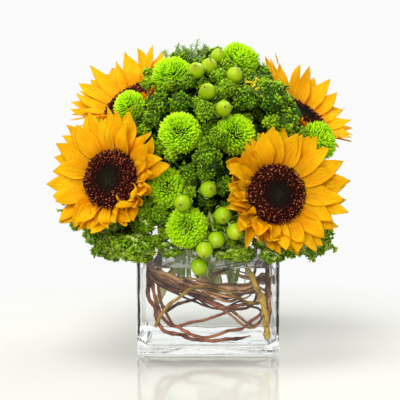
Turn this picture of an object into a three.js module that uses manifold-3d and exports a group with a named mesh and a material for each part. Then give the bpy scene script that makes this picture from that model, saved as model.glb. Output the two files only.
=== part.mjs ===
// Sunflowers in a square glass vase, in millimetres. The origin is the middle of the vase's foot, +Z is up
// and -Y is the front.
import * as THREE from 'three';
import Module from 'manifold-3d';

const wasm = await Module();
wasm.setup();

// Driving dimensions

const vase = { side: 127, wall: 4.5, floor: 9, edgeRound: 6, footRound: 4, floorRound: 7, cornerSteps: 3 };
const waterLevel = 80;
const meshGap = 0.35; // kept between touching pieces
const straightness = 1.1; // how far a stem's chords may pass from its smooth path
const bendGap = 0.9; // kept between a stem and what it is bent clear of
const rimCare = 0.7; // kept from the glass as well
const rimPass = 134; // height at which stems leave the vase
const way = { heart: 150, below: 20, share: 0.6, radius: 2.5 }; // room kept behind a bloom for its stem
const flower = {
  discRadius: 27.5,
  discHeight: 8.5,
  discSides: 16,
  ringRadius: 29,
  ringThick: 3.6,
  rayLength: 31,
  rayWidth: 15.5,
  rayThick: 0.8,
  rayLayers: 3,
  raysInLayer: 10,
  layerStep: 1.3,
  layerCup: 9,
  bracts: 11,
  bractReach: 37,
  cupDepth: 14,
  stemRadius: 4.3,
  stemSides: 4,
  view: { from: 12, to: 36, radius: 20, narrow: 12 }, // room kept free before the disc, so that it shows
};
const mum = { core: 13.9, petal: 5.6 };
const berry = { radius: 7, height: 15.5, sepal: 8.6, care: 2.2 };
const dome = {
  centre: [-4, 0, 166],
  radii: [112, 97, 104],
  headRadius: 21,
  hem: 79, // nothing of the greens hangs lower
  overlap: 0.95, // of a head's radius, kept from heads of other sprays
  fused: 0.6, // and from heads of its own spray, which it grows together with
  droop: 0.6,
  frontFiner: 0.5, // how much smaller a head may be at the front
  curtain: { depths: [-72, -80, -87], half: 66, low: 86, high: 158, step: 4 }, // before the rim
  drape: [
    [-118, -36, 122], [-122, -10, 130], [-104, -28, 104], [-94, -50, 97], [-78, -66, 104],
    [-62, -78, 112], [-54, -80, 94], [-84, -26, 92], [-46, -84, 128], [-40, -76, 84], [44, -80, 98],
    [62, -80, 92], [30, -78, 88], [78, -72, 100], [92, -50, 106], [2, -84, 172], [2, -80, 186],
    [-6, -70, 176], [-50, -72, 190], [0, -70, 205], [-50, -80, 110], [-2, -64, 220], [40, -60, 212],
    [62, -40, 204], [-14, -60, 232], [22, -44, 236],
  ],
  forkShare: 0.56, // how far out the sprays fork
  shells: [
    { count: 1100, share: 0.9, smallest: 15, ball: 'plain', core: 0.7 },
    { count: 500, share: 0.7, smallest: 17, ball: 'coarse', core: 0.8 },
  ],
};

// Vectors, curves and random draws

const vector = (list) => new THREE.Vector3(...list);
const up = new THREE.Vector3(0, 0, 1);

// A repeatable run of numbers from 0 to 1.
function draws(seed) {
  let state = seed;
  return () => {
    state = (state * 1664525 + 1013904223) % 4294967296;
    return state / 4294967296;
  };
}

// A smooth curve through hand-placed points, cut into equal steps.
function curveThrough(points, step) {
  const curve = new THREE.CatmullRomCurve3(points, false, 'centripetal');
  const steps = Math.max(3, Math.round(curve.getLength() / step));
  return curve.getSpacedPoints(steps);
}

// The nearest point to p on the stretch from a to b.
function nearestOn(a, b, p) {
  const along = b.clone().sub(a);
  const size = along.lengthSq();
  const share = size === 0 ? 0 : Math.min(1, Math.max(0, p.clone().sub(a).dot(along) / size));
  return a.clone().addScaledVector(along, share);
}

// Leaves out each point whose neighbours' chord passes within the tolerance of it.
function thinned(points, tolerance) {
  const chord = (from, to) => {
    let worst = 0;
    let where = -1;
    for (let i = from + 1; i < to; i++) {
      const off = nearestOn(points[from], points[to], points[i]).distanceTo(points[i]);
      if (off > worst) {
        worst = off;
        where = i;
      }
    }
    return worst > tolerance ? [...chord(from, where), ...chord(where, to)] : [points[from]];
  };
  return [...chord(0, points.length - 1), points[points.length - 1]];
}

// Solids

// A solid of shared points and three-sided faces, turned to face outwards.
function solidOf(points, faces) {
  const volume = faces.reduce((sum, [a, b, c]) => {
    return sum + points[a].dot(points[b].clone().cross(points[c]));
  }, 0);
  const facing = volume < 0 ? faces.map(([a, b, c]) => [a, c, b]) : faces;
  return new wasm.Manifold(
    new wasm.Mesh({
      numProp: 3,
      vertProperties: new Float32Array(points.flatMap((p) => p.toArray())),
      triVerts: new Uint32Array(facing.flat()),
    }),
  );
}

const joined = (solids) => solids.reduce((whole, piece) => whole.add(piece));

// Skins rings of equally many points, one after the other, and closes both ends flat, or the last at a point.
function loft(rings, apex) {
  const sides = rings[0].length;
  const faces = [];
  for (let r = 0; r + 1 < rings.length; r++) {
    for (let s = 0; s < sides; s++) {
      const a = r * sides + s;
      const b = r * sides + ((s + 1) % sides);
      faces.push([a, b, b + sides], [a, b + sides, a + sides]);
    }
  }
  const last = (rings.length - 1) * sides;
  for (let s = 1; s + 1 < sides; s++) {
    faces.push([0, s + 1, s]);
    if (!apex) {
      faces.push([last, last + s, last + s + 1]);
    }
  }
  if (!apex) {
    return solidOf(rings.flat(), faces);
  }
  for (let s = 0; s < sides; s++) {
    faces.push([last + s, last + ((s + 1) % sides), rings.length * sides]);
  }
  return solidOf([...rings.flat(), apex], faces);
}

// A frame at a point: w along the axis, u level and to its right as seen from the front, v the rest.
function frameAt(at, axis) {
  const w = axis.clone().normalize();
  const u = Math.abs(w.z) > 0.98 ? new THREE.Vector3(1, 0, 0) : up.clone().cross(w).normalize();
  const v = w.clone().cross(u).normalize();
  return { at, u: v.clone().cross(w), v, w };
}

// A point of a frame by its distance from the axis, its angle round it and its height along it.
function polar(frame, radius, angle, height) {
  return frame.at
    .clone()
    .addScaledVector(frame.u, radius * Math.cos(angle))
    .addScaledVector(frame.v, radius * Math.sin(angle))
    .addScaledVector(frame.w, height);
}

// A level ring of a frame; every second point may reach further out and higher, as bracts and sepals do.
function ring(frame, sides, radius, height, tipRadius = radius, tipHeight = height) {
  return Array.from({ length: sides }, (_, s) => {
    const tip = s % 2 === 1;
    return polar(frame, tip ? tipRadius : radius, (s * 2 * Math.PI) / sides, tip ? tipHeight : height);
  });
}

// A round stem along a path, its radius running from the first to the last value. grow makes it fatter and
// longer all round, for the hole that it stands in.
function tube(path, radius, lastRadius, sides, grow = 0) {
  const count = path.length - 1;
  const points = path.map((p) => p.clone());
  points[0].add(path[0].clone().sub(path[1]).setLength(grow));
  points[count].add(path[count].clone().sub(path[count - 1]).setLength(grow));
  let side = new THREE.Vector3(1, 0.13, 0.07);
  const rings = points.map((p, i) => {
    const before = points[Math.max(0, i - 1)];
    const after = points[Math.min(count, i + 1)];
    const along = after.clone().sub(before).normalize();
    side = side.clone().addScaledVector(along, -side.dot(along)).normalize();
    const other = along.clone().cross(side);
    const size = radius + ((lastRadius - radius) * i) / count + grow;
    return Array.from({ length: sides }, (_, s) => {
      const angle = (s * 2 * Math.PI) / sides;
      return p
        .clone()
        .addScaledVector(side, size * Math.cos(angle))
        .addScaledVector(other, size * Math.sin(angle));
    });
  });
  return loft(rings);
}

const balls = {
  fine: new THREE.IcosahedronGeometry(1, 1),
  plain: new THREE.IcosahedronGeometry(1, 0),
  coarse: new THREE.OctahedronGeometry(1, 0),
};

// A dense head: a ball of near-equal facets, each raised to a petal or bud that leans towards the axis of the
// head. Facets that look back along the axis stay bare, where the stem meets it.
function head(frame, { ball, core, spike, lean, bareBelow, flat, draw }) {
  const place = ball.getAttribute('position');
  const key = new Map();
  const points = [];
  const corner = (i) => {
    const p = new THREE.Vector3().fromBufferAttribute(place, i);
    const name = p.toArray().map((value) => Math.round(value * 1000)).join();
    if (!key.has(name)) {
      key.set(name, points.length);
      points.push(p.multiplyScalar(core));
    }
    return key.get(name);
  };
  const faces = [];
  for (let i = 0; i < place.count; i += 3) {
    const [a, b, c] = [corner(i), corner(i + 1), corner(i + 2)];
    const middle = points[a].clone().add(points[b]).add(points[c]).normalize();
    if (middle.z < bareBelow) {
      faces.push([a, b, c]);
      continue;
    }
    const reach = core + spike * (0.8 + 0.4 * draw());
    const tip = middle.clone().addScaledVector(up, lean).setLength(reach);
    points.push(tip);
    const t = points.length - 1;
    faces.push([a, b, t], [b, c, t], [c, a, t]);
  }
  const placed = points.map((p) => {
    return frame.at
      .clone()
      .addScaledVector(frame.u, p.x)
      .addScaledVector(frame.v, p.y)
      .addScaledVector(frame.w, p.z * flat);
  });
  return solidOf(placed, faces);
}

// What stands already, and how a stem is bent clear of it

const taken = []; // round-ended rods that cover the pieces: { node, a, b, radius }
const take = (node, a, b, radius) => taken.push({ node, a, b, radius });

function takePath(node, path, radius) {
  for (let i = 0; i + 1 < path.length; i++) {
    take(node, path[i], path[i + 1], radius);
  }
}

// Keeps a way free for the stem of a bloom or berry, from behind it to the middle of the bunch.
function takeWay(node, from) {
  const heart = new THREE.Vector3(0, 0, Math.max(way.heart, from.z - way.below));
  takePath(`way_${node}`, [from, from.clone().lerp(heart, way.share)], way.radius);
}

// The room round a point, to the nearest piece of any node that isn't its own.
function room(point, ownNodes) {
  let least = Infinity;
  for (const rod of taken) {
    if (!ownNodes.includes(rod.node)) {
      least = Math.min(least, nearestOn(rod.a, rod.b, point).distanceTo(point) - rod.radius);
    }
  }
  return least;
}

const inside = vase.side / 2 - vase.wall;
const outside = vase.side / 2;

// Moves a point that is too near the vase's wall to the nearest side of it, or over its rim.
function clearOfWall(point, radius) {
  const margin = radius + bendGap + rimCare;
  const reach = Math.max(Math.abs(point.x), Math.abs(point.y));
  if (point.z > vase.side + margin || reach > outside + margin || reach < inside - margin) {
    return;
  }
  const inwards = reach - (inside - margin);
  const outwards = outside + margin - reach;
  const over = vase.side + margin - point.z;
  const least = Math.min(inwards, outwards, over);
  if (least === over) {
    point.z += over;
    return;
  }
  const limit = least === inwards ? inside - margin : outside + margin;
  for (const axis of ['x', 'y']) {
    if (Math.abs(point[axis]) > inside - margin) {
      point[axis] = Math.sign(point[axis]) * limit;
    }
  }
}

// Moves a point out of whatever it lies too near.
function settled(point, radius, ownNodes) {
  const at = point.clone();
  for (let round = 0; round < 40; round++) {
    pushOut(at, radius, taken.filter((rod) => !ownNodes.includes(rod.node) && !rod.node.startsWith('way_')));
    clearOfWall(at, radius);
  }
  return at;
}

function pushOut(point, radius, rods) {
  for (const rod of rods) {
    const nearest = nearestOn(rod.a, rod.b, point);
    const gap = nearest.distanceTo(point);
    const wanted = rod.radius + radius + bendGap;
    if (gap < wanted && gap > 0) {
      point.sub(nearest).setLength(wanted).add(nearest);
    }
  }
}

// Bends a path clear of what stands already. Its ends stay; each other point shares its shift with its
// neighbours, so that the bend stays smooth, and is then pushed out of whatever it lies too near.
function bentClear(points, radius, ownNodes, rounds = 60) {
  const home = points.map((p) => p.clone());
  const path = points.map((p) => p.clone());
  const near = taken.filter((rod) => !ownNodes.includes(rod.node) && !rod.node.startsWith('way_'));
  for (let round = 0; round < rounds; round++) {
    const smooth = round < rounds - 8;
    for (let i = 1; i + 1 < path.length; i++) {
      if (smooth) {
        const shift = path[i].clone().sub(home[i]).multiplyScalar(0.5);
        shift.addScaledVector(path[i - 1].clone().sub(home[i - 1]), 0.24);
        shift.addScaledVector(path[i + 1].clone().sub(home[i + 1]), 0.24);
        path[i].copy(home[i]).add(shift);
      }
      pushOut(path[i], radius, near);
      clearOfWall(path[i], radius);
    }
  }
  return thinned(path, straightness);
}

// The scene's list of pieces

const root = new THREE.Group();
const holes = []; // what stands in the water

const finishes = {
  glass: { color: 0xeef4f2, roughness: 0.03, metalness: 0, transparent: true, opacity: 0.35 },
  water: { color: 0xf2f7f5, roughness: 0.02, metalness: 0, transparent: true, opacity: 0.35 },
  willow: { color: 0x7a4630, roughness: 0.55, metalness: 0 },
  goldWillow: { color: 0x9a7a35, roughness: 0.55, metalness: 0 },
  rays: { color: 0xf7ad0c, roughness: 0.6, metalness: 0 },
  disc: { color: 0x2a120c, roughness: 0.9, metalness: 0 },
  stem: { color: 0x9fae52, roughness: 0.6, metalness: 0 },
  mum: { color: 0x86c81a, roughness: 0.65, metalness: 0 },
  berry: { color: 0x8fb62a, roughness: 0.35, metalness: 0 },
  greens: { color: 0x4c8f20, roughness: 0.7, metalness: 0 },
};

// The swelling where a stem forks, which the branches grow out of.
const knot = (at, radius) => head(frameAt(at, up), {
  ball: balls.coarse, core: radius, spike: 0, lean: 0, bareBelow: 2, flat: 1, draw: () => 0,
});

function addPiece(name, finish, solid) {
  const made = solid.getMesh();
  const geometry = new THREE.BufferGeometry();
  geometry.setAttribute('position', new THREE.BufferAttribute(new Float32Array(made.vertProperties), 3));
  geometry.setIndex(new THREE.BufferAttribute(new Uint32Array(made.triVerts), 1));
  geometry.computeVertexNormals();
  const mesh = new THREE.Mesh(geometry, new THREE.MeshStandardMaterial(finishes[finish]));
  mesh.name = name;
  root.add(mesh);
}

// Vase

// A level square with round corners.
function roundedSquare(half, corner, height) {
  const points = [];
  for (let quarter = 0; quarter < 4; quarter++) {
    const turn = (quarter * Math.PI) / 2;
    for (let s = 0; s < vase.cornerSteps; s++) {
      const angle = (s / (vase.cornerSteps - 1)) * (Math.PI / 2);
      const x = half - corner + corner * Math.cos(angle);
      const y = half - corner + corner * Math.sin(angle);
      points.push(new THREE.Vector3(x, y, height).applyAxisAngle(up, turn));
    }
  }
  return points;
}

// The hollow's rings from its floor up, gap inside the glass, to the height asked for.
function hollowRings(gap, top) {
  const half = vase.side / 2 - vase.wall - gap;
  const corner = vase.edgeRound - vase.wall + 1;
  const arc = [90, 60, 30, 0].map((degrees) => (degrees * Math.PI) / 180);
  const rings = arc.map((angle) => {
    const inset = vase.floorRound * (1 - Math.cos(angle));
    const height = vase.floor + vase.floorRound * (1 - Math.sin(angle)) + gap;
    return roundedSquare(half - inset, corner + 1, height);
  });
  return [...rings, roundedSquare(half, corner + 1, top)];
}

function addVase() {
  const half = vase.side / 2;
  const arc = [90, 45, 0].map((degrees) => (degrees * Math.PI) / 180);
  const foot = arc.map((angle) => {
    const inset = vase.footRound * (1 - Math.cos(angle));
    return roundedSquare(half - inset, vase.edgeRound, vase.footRound * (1 - Math.sin(angle)));
  });
  const lip = 1.2;
  const rim = [
    roundedSquare(half, vase.edgeRound, vase.side - lip),
    roundedSquare(half - lip, vase.edgeRound - lip, vase.side),
    roundedSquare(half - vase.wall + lip, vase.edgeRound - vase.wall + 1 + lip, vase.side),
  ];
  const hollow = hollowRings(0, vase.side - lip).reverse();
  addPiece('vase', 'glass', loft([...foot, ...rim, ...hollow]));
}

// Willow

// Hand-chosen routes of the twigs, coiled inside the glass; each has one end above the water.
const willowTwigs = {
  gold_right: {
    radii: [4, 3],
    finish: 'goldWillow',
    route: [
      [53, -50, 15], [52, -51, 28], [49, -51, 44], [44, -50, 59], [39, -48, 72], [31, -45, 86],
      [22, -38, 104],
    ],
  },
  gold_left: {
    radii: [2.9, 2.1],
    finish: 'goldWillow',
    route: [
      [-47, -51, 26], [-41, -54, 39], [-32, -56, 48], [-22, -56, 57], [-9, -56, 63], [6, -56, 62],
      [18, -56, 57], [31, -54, 51], [44, -45, 47], [53, -30, 52], [55, -14, 68], [52, -2, 92],
    ],
  },
  upper: {
    radii: [2.6, 2.1],
    finish: 'willow',
    route: [
      [-50, -30, 100], [-53, -38, 86], [-51, -46, 78], [-44, -50, 75], [-34, -52, 73], [-24, -52, 68],
      [-13, -52, 65], [7, -52, 61], [30, -49, 60], [46, -38, 64], [54, -18, 66], [54, 12, 60],
      [44, 42, 56], [18, 53, 60], [-14, 53, 56],
    ],
  },
  middle: {
    radii: [2.4, 2],
    finish: 'willow',
    route: [
      [-48, -20, 98], [-53, -30, 84], [-50, -40, 74], [-45, -44, 70], [-34, -48, 66], [-22, -49, 61],
      [-5, -48, 55], [18, -47, 53], [30, -44, 55], [42, -36, 56], [50, -20, 50], [50, 8, 44],
    ],
  },
  lower: {
    radii: [2.3, 1.8],
    finish: 'willow',
    route: [
      [-42, -16, 96], [-46, -28, 80], [-44, -37, 68], [-31, -42, 61], [-17, -44, 55], [-5, -44, 49],
      [5, -44, 45], [16, -44, 42], [29, -41, 44], [44, -32, 44],
    ],
  },
  low_red: {
    radii: [2.4, 2],
    finish: 'willow',
    route: [
      [-52, -12, 96], [-53, -22, 82], [-53, -30, 70], [-54, -38, 57], [-50, -44, 45], [-46, -49, 34],
      [-40, -51, 22], [-22, -53, 17], [0, -53, 13], [12, -53, 13], [22, -52, 15], [38, -48, 17],
    ],
  },
  low_brown: {
    radii: [2.3, 1.9],
    finish: 'willow',
    route: [
      [-53, 0, 96], [-53, -12, 82], [-50, -24, 66], [-49, -32, 54], [-46, -38, 43], [-41, -41, 33],
      [-30, -44, 25], [-14, -47, 18], [2, -46, 16], [15, -44, 19], [33, -38, 24], [46, -28, 32],
      [52, -10, 38], [50, 16, 36], [38, 40, 30],
    ],
  },
  brown_right: {
    radii: [2.8, 2.3],
    finish: 'willow',
    route: [[54, -38, 20], [55, -37, 40], [55, -35, 58], [54, -31, 80], [52, -26, 100]],
  },
  shoot_looped: {
    radii: [1.7, 1.3],
    finish: 'willow',
    route: [
      [44, -12, 98], [42, -24, 86], [29, -34, 79], [13, -41, 76], [-2, -44, 69], [-14, -43, 62],
      [-11, -38, 54], [5, -37, 47], [18, -38, 40], [31, -35, 31], [44, -33, 26], [49, -32, 33],
      [44, -29, 40], [33, -32, 43],
    ],
  },
  shoot_low: {
    radii: [1.9, 1.4],
    finish: 'willow',
    route: [
      [-40, -6, 98], [-45, -20, 78], [-45, -32, 52], [-39, -40, 33], [-31, -41, 25], [-18, -38, 26],
      [-2, -35, 31], [11, -34, 33], [22, -31, 37], [35, -28, 39], [46, -14, 46], [48, 6, 56],
    ],
  },
  shoot_band: {
    radii: [1.9, 1.4],
    finish: 'goldWillow',
    route: [
      [-37, -43, 39], [-25, -39, 45], [-15, -34, 46], [-2, -28, 49], [13, -22, 46], [28, -14, 49],
      [40, -4, 60], [45, 8, 78], [44, 16, 98],
    ],
  },
};
const willowSides = 4;

function addWillow() {
  for (const [twig, { radii, finish, route }] of Object.entries(willowTwigs)) {
    const name = `willow_${twig}`;
    const fat = Math.max(...radii);
    const points = curveThrough(route.map(vector), 6);
    for (const point of [points[0], points[points.length - 1]]) {
      clearOfWall(point, fat);
    }
    const path = bentClear(points, fat, [name]);
    takePath(name, path, fat);
    addPiece(name, finish, tube(path, radii[0], radii[1], willowSides));
    holes.push(tube(path, radii[0], radii[1], willowSides, meshGap));
  }
}

// Sunflowers

// facing is the way the disc looks. cup is how far the rays stand forward, in degrees. The rays round the
// angle curlAt, as seen from the front, are shorter by the share shorten and curl forward by curl degrees,
// and those across from them are longer by the share lengthen. The greens keep clear of the line to sight.
const sunflowers = [
  {
    at: [-82, -72, 159.4], facing: [-0.42, -0.86, 0.28], cup: 18,
    curlAt: -40, curlSpread: 120, curl: 50, shorten: 0.2, lengthen: 0.04,
    stem: [[4, 16, 46], [-6, 10, 62], [-22, -2, 90], [-40, -22, 122], [-58, -40, 146]],
  },
  {
    at: [56.6, -78, 147.3], facing: [0.26, -0.93, 0.2], cup: 14,
    curlAt: 222, curlSpread: 120, curl: 50, shorten: 0.2, lengthen: 0.24,
    stem: [[2, -18, 48], [5, -19, 66], [14, -22, 92], [28, -31, 120], [46, -48, 141]],
  },
  {
    at: [-73, 36, 220], facing: [-0.52, -0.31, 0.8], cup: 31,
    curlAt: -65, curlSpread: 110, curl: 0, shorten: 0.35, lengthen: 0.45, sight: [-66, -30, 244],
    stem: [[27, -9, 45], [22, -9, 66], [10, -8, 92], [-8, 2, 126], [-34, 22, 168], [-48, 36, 188]],
  },
  {
    at: [88, 38, 206], facing: [0.52, -0.31, 0.8], cup: 31,
    curlAt: 265, curlSpread: 110, curl: 0, shorten: 0.35, lengthen: 0.4,
    stem: [[-48, -30, 42], [-38, -26, 62], [-24, -19, 86], [2, -6, 124], [40, 18, 160], [64, 36, 178]],
  },
];

const radians = (degrees) => (degrees * Math.PI) / 180;

// How wide a ray is, as a share of its full width, along its length.
const rayStations = [
  { share: 0.22, wide: 0.38 },
  { share: 0.6, wide: 1 },
];

// The crown of rays: one plate whose rim has a facet for each ray, each facet drawn out to a blade. A blade
// keeps to its own share of the rim until it has risen clear of its neighbours, and widens past that.
function rayCrown(frame, rays) {
  const half = flower.ringThick / 2;
  const step = (2 * Math.PI) / rays.length;
  const points = [];
  const faces = [];
  rays.forEach((_, k) => {
    points.push(polar(frame, flower.ringRadius, (k - 0.5) * step, half));
    points.push(polar(frame, flower.ringRadius, (k - 0.5) * step, -half));
  });
  for (let k = 1; k + 1 < rays.length; k++) {
    faces.push([0, 2 * k + 2, 2 * k], [1, 2 * k + 1, 2 * k + 3]);
  }
  const lines = rays.map((ray, k) => {
    const next = (k + 1) % rays.length;
    let last = [2 * k, 2 * next, 2 * next + 1, 2 * k + 1];
    for (const { share, wide } of rayStations) {
      const { middle, across, lift } = bladeSection(frame, k * step, ray, share);
      const aside = across.clone().multiplyScalar((ray.width * wide) / 2);
      const above = lift.clone().multiplyScalar(flower.rayThick / 2);
      const now = [0, 1, 2, 3].map((corner) => points.length + corner);
      points.push(
        middle.clone().sub(aside).add(above),
        middle.clone().add(aside).add(above),
        middle.clone().add(aside).sub(above),
        middle.clone().sub(aside).sub(above),
      );
      const [a, b, c, d] = last;
      const [e, f, g, h] = now;
      faces.push([a, b, f], [a, f, e], [b, c, g], [b, g, f], [c, d, g], [d, h, g], [d, a, e], [d, e, h]);
      last = now;
    }
    points.push(bladeSection(frame, k * step, ray, 1).middle);
    const tip = points.length - 1;
    last.forEach((corner, i) => faces.push([corner, last[(i + 1) % 4], tip]));
    return [0.2, 0.55, 0.9].map((share) => bladeSection(frame, k * step, ray, share).middle);
  });
  return { solid: solidOf(points, faces), lines };
}

// Where a ray's midline is at a share of its length, and which way its width and its upper face lie there.
function bladeSection(frame, angle, { length, cup, bend, rise, sway, twist }, share) {
  const place = (t) => {
    const slope = cup + bend * t;
    const radial = flower.ringRadius + length * t * Math.cos(slope);
    const height = length * t * Math.sin(slope) + rise;
    return polar(frame, radial, angle + sway * t * t, height);
  };
  const middle = place(share);
  const along = place(share + 0.05).sub(middle).normalize();
  const out = polar({ ...frame, at: new THREE.Vector3() }, 1, angle, 0);
  const across = frame.w.clone().cross(out).applyAxisAngle(along, twist * share);
  return { middle, across, lift: along.clone().cross(across).normalize() };
}

function addSunflower(index, { at, facing, cup, curlAt, curlSpread, curl, shorten, lengthen, sight, stem }) {
  const names = ['rays', 'disc', 'stem'].map((part) => `sunflower_${index}_${part}`);
  const frame = frameAt(vector(at), vector(facing));
  const draw = draws(100 + index);
  const half = flower.ringThick / 2;
  const count = flower.rayLayers * flower.raysInLayer;
  const rays = Array.from({ length: count }, (_, k) => {
    const layer = k % flower.rayLayers;
    const group = k - layer + 1;
    const turn = Math.abs((((group * 360) / count - curlAt + 540) % 360) - 180);
    const curled = Math.max(0, 1 - turn / curlSpread);
    const reach = (1 - shorten * curled) * (1 + lengthen * Math.max(0, turn / 90 - 1));
    return {
      length: flower.rayLength * (0.9 + 0.2 * draw()) * reach,
      width: flower.rayWidth * (0.9 + 0.2 * draw()) * (1 - 0.25 * curled),
      cup: radians(cup - (layer - 1) * flower.layerCup + (draw() - 0.5) * 2),
      bend: radians(curl * curled + (draw() - 0.5) * 4),
      rise: (1 - layer) * flower.layerStep,
      sway: (draw() - 0.5) * 0.12,
      twist: (draw() - 0.5) * 0.16,
    };
  });
  const crown = rayCrown(frame, rays);
  crown.lines.forEach((line) => takePath(names[0], line, 5));
  addPiece(names[0], 'rays', crown.solid);

  addPiece(names[1], 'disc', disc(frame, half + meshGap, draw));
  for (let s = 0; s < 8; s++) {
    const angle = (s * Math.PI) / 4;
    take(names[0], polar(frame, 8, angle, 0), polar(frame, 22, angle, 0), 7.5);
  }
  for (let s = 0; s < flower.bracts; s++) {
    const angle = ((2 * s + 1) * Math.PI) / flower.bracts;
    take(names[2], polar(frame, 22, angle, -6), polar(frame, flower.bractReach - 3, angle, -5), 4.5);
  }
  const { view } = flower;
  take(`way_${names[1]}`, polar(frame, 0, 0, view.from), polar(frame, 0, 0, view.to), view.radius);
  if (sight) {
    take(`way_${names[0]}`, polar(frame, 0, 0, view.from), vector(sight), view.narrow);
  }

  const top = -half - meshGap;
  const points = flower.bracts * 2;
  const cupRings = [
    ring(frame, points, 22, top),
    ring(frame, points, 24, top - 2.5, flower.bractReach, top - 3),
    ring(frame, points, 18, top - 7),
    ring(frame, points, 6, top - flower.cupDepth),
  ];
  const neck = [2, -7].map((height) => polar(frame, 0, 0, top - flower.cupDepth + height));
  const route = curveThrough([...stem.map(vector), neck[1]], 5);
  const path = bentClear(route, flower.stemRadius, names);
  path.push(neck[0]);
  const stalk = (grow) => tube(path, flower.stemRadius, flower.stemRadius, flower.stemSides, grow);
  addPiece(names[2], 'stem', loft(cupRings).add(stalk(0)));
  holes.push(stalk(meshGap));
  take(names[2], neck[0], neck[1], 9);
  takePath(names[2], path, flower.stemRadius);
}

// The disc: a low dome whose rings of florets stand out as a zig-zag relief, with a plain underside.
function disc(frame, base, draw) {
  const { discRadius, discHeight, discSides } = flower;
  const rows = [
    { radius: 0.84, height: 0 },
    { radius: 1, height: 0.42 },
    { radius: 0.88, height: 0.82 },
    { radius: 0.68, height: 0.9 },
    { radius: 0.46, height: 0.88 },
    { radius: 0.22, height: 0.8 },
  ];
  const rings = rows.map(({ radius, height }, row) => {
    return Array.from({ length: discSides }, (_, s) => {
      const relief = row > 0 ? 2.2 * (draw() - 0.5) : 0;
      const angle = ((s + (row % 2) * 0.5) * 2 * Math.PI) / discSides;
      return polar(frame, discRadius * radius, angle, base + discHeight * height + relief);
    });
  });
  return loft(rings);
}

// Button chrysanthemums

// Two blooms grow on each spray: where they sit and which way they look.
const mumSprays = [
  { foot: [-14, -34, 56], over: [-26, -44, 139], blooms: [
    { at: [-35.6, -73, 152.6], facing: [-0.1, -0.97, 0.2] },
    { at: [-18.3, -85, 120.3], facing: [-0.05, -0.98, 0.1] },
  ] },
  { foot: [14, -4, 52], over: [2, -26, 136], blooms: [
    { at: [-24.2, -78, 200], facing: [0.02, -0.93, 0.36] },
    { at: [22.9, -64, 197.6], facing: [0.25, -0.88, 0.38] },
  ] },
  { foot: [-18, 6, 52], over: [-20, -6, 136], blooms: [
    { at: [-32, -35, 247.9], facing: [-0.2, -0.6, 0.77] },
    { at: [-68.7, -45, 221], facing: [-0.5, -0.66, 0.55] },
  ] },
  { foot: [12, 28, 50], over: [12, 18, 136], blooms: [
    { at: [29, -10, 262.2], facing: [0.45, -0.15, 0.88] },
    { at: [-6, 56, 236], facing: [-0.1, 0.6, 0.8] },
  ] },
  { foot: [34, 12, 50], over: [42, 14, 134], blooms: [
    { at: [98.3, -31, 190], facing: [0.86, -0.38, 0.34] },
    { at: [44, 86, 168], facing: [0.4, 0.9, 0.15] },
  ] },
  { foot: [-30, 30, 50], over: [-38, 34, 134], blooms: [
    { at: [-42, 80, 192], facing: [-0.4, 0.85, 0.35] },
    { at: [-98, 40, 146], facing: [-0.9, 0.4, 0.15] },
  ] },
];
const mumStem = { radius: 1.9, branch: 1.5, sides: 3 };

function takeMums() {
  mumSprays.forEach(({ blooms }, spray) => {
    blooms.forEach(({ at, facing }, bloom) => {
      const name = `mum_${spray * 2 + bloom + 1}`;
      const frame = frameAt(vector(at), vector(facing));
      take(name, frame.at, frame.at, mum.core + mum.petal);
      takeWay(name, polar(frame, 0, 0, -mum.core - 8));
    });
  });
}

function addMumSpray(index, { foot, over, blooms }) {
  const name = `mum_stem_${index + 1}`;
  const middle = blooms.reduce((sum, { at }) => sum.add(vector(at)), new THREE.Vector3());
  middle.multiplyScalar(1 / blooms.length);
  const start = vector(over);
  const fork = settled(start.clone().lerp(middle, 0.35), mumStem.radius, [name]);
  const footAt = settled(vector(foot), mumStem.radius, [name]);
  const main = bentClear(curveThrough([footAt, start, fork], 5), mumStem.radius, [name]);
  takePath(name, main, mumStem.radius);
  const pieces = [tube(main, mumStem.radius, mumStem.branch, mumStem.sides)];
  holes.push(tube(main, mumStem.radius, mumStem.branch, mumStem.sides, meshGap));
  blooms.forEach(({ at, facing }, number) => {
    const bloomName = `mum_${index * 2 + number + 1}`;
    const frame = frameAt(vector(at), vector(facing));
    const draw = draws(300 + index * 2 + number);
    addPiece(bloomName, 'mum', head(frame, {
      ball: balls.fine, core: mum.core, spike: mum.petal, lean: 0.25, bareBelow: -0.1, flat: 0.9, draw,
    }));
    const back = -mum.core * 0.9 - meshGap;
    const calyx = [ring(frame, 6, 4.5, back), ring(frame, 6, 1.6, back - 3.5)];
    const seat = polar(frame, 0, 0, back - 2);
    const behind = polar(frame, 0, 0, back - 7);
    const route = curveThrough([fork, fork.clone().lerp(behind, 0.55), behind], 5);
    const path = bentClear(route, mumStem.branch, [name, bloomName]);
    path.push(seat);
    takePath(name, path, mumStem.branch);
    pieces.push(tube(path, mumStem.branch, mumStem.branch, 3), loft(calyx));
  });
  addPiece(name, 'stem', joined(pieces));
}

// Hypericum

const sprigs = [
  { foot: [-4, 2, 54], fork: [-2, -20, 232], berries: [[-10.6, -52, 253.2], [1, -40, 257], [9, -25, 266]] },
  { foot: [10, 14, 54], fork: [10, -38, 214], berries: [[23, -50, 249.4], [-1, -65, 235.4], [13, -75, 221]] },
  { foot: [4, -38, 60], fork: [-8, -62, 150], berries: [[-22, -99, 142.7], [0, -92, 153.7]] },
  { foot: [20, -34, 58], fork: [12, -70, 140], berries: [[12, -93, 131.2], [22.9, -92, 117.3]] },
  { foot: [-2, -44, 62], fork: [1, -68, 132], berries: [
    [6.6, -90, 109.7], [-3.5, -98.5, 102.4], [-8, -82, 84.9],
  ] },
  { foot: [-8, 34, 54], fork: [6, 58, 188], berries: [[16, 82, 206], [2, 90, 198], [22, 88, 190]] },
];
const sprigStem = { radius: 1.6, twig: 1, sides: 3 };

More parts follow.
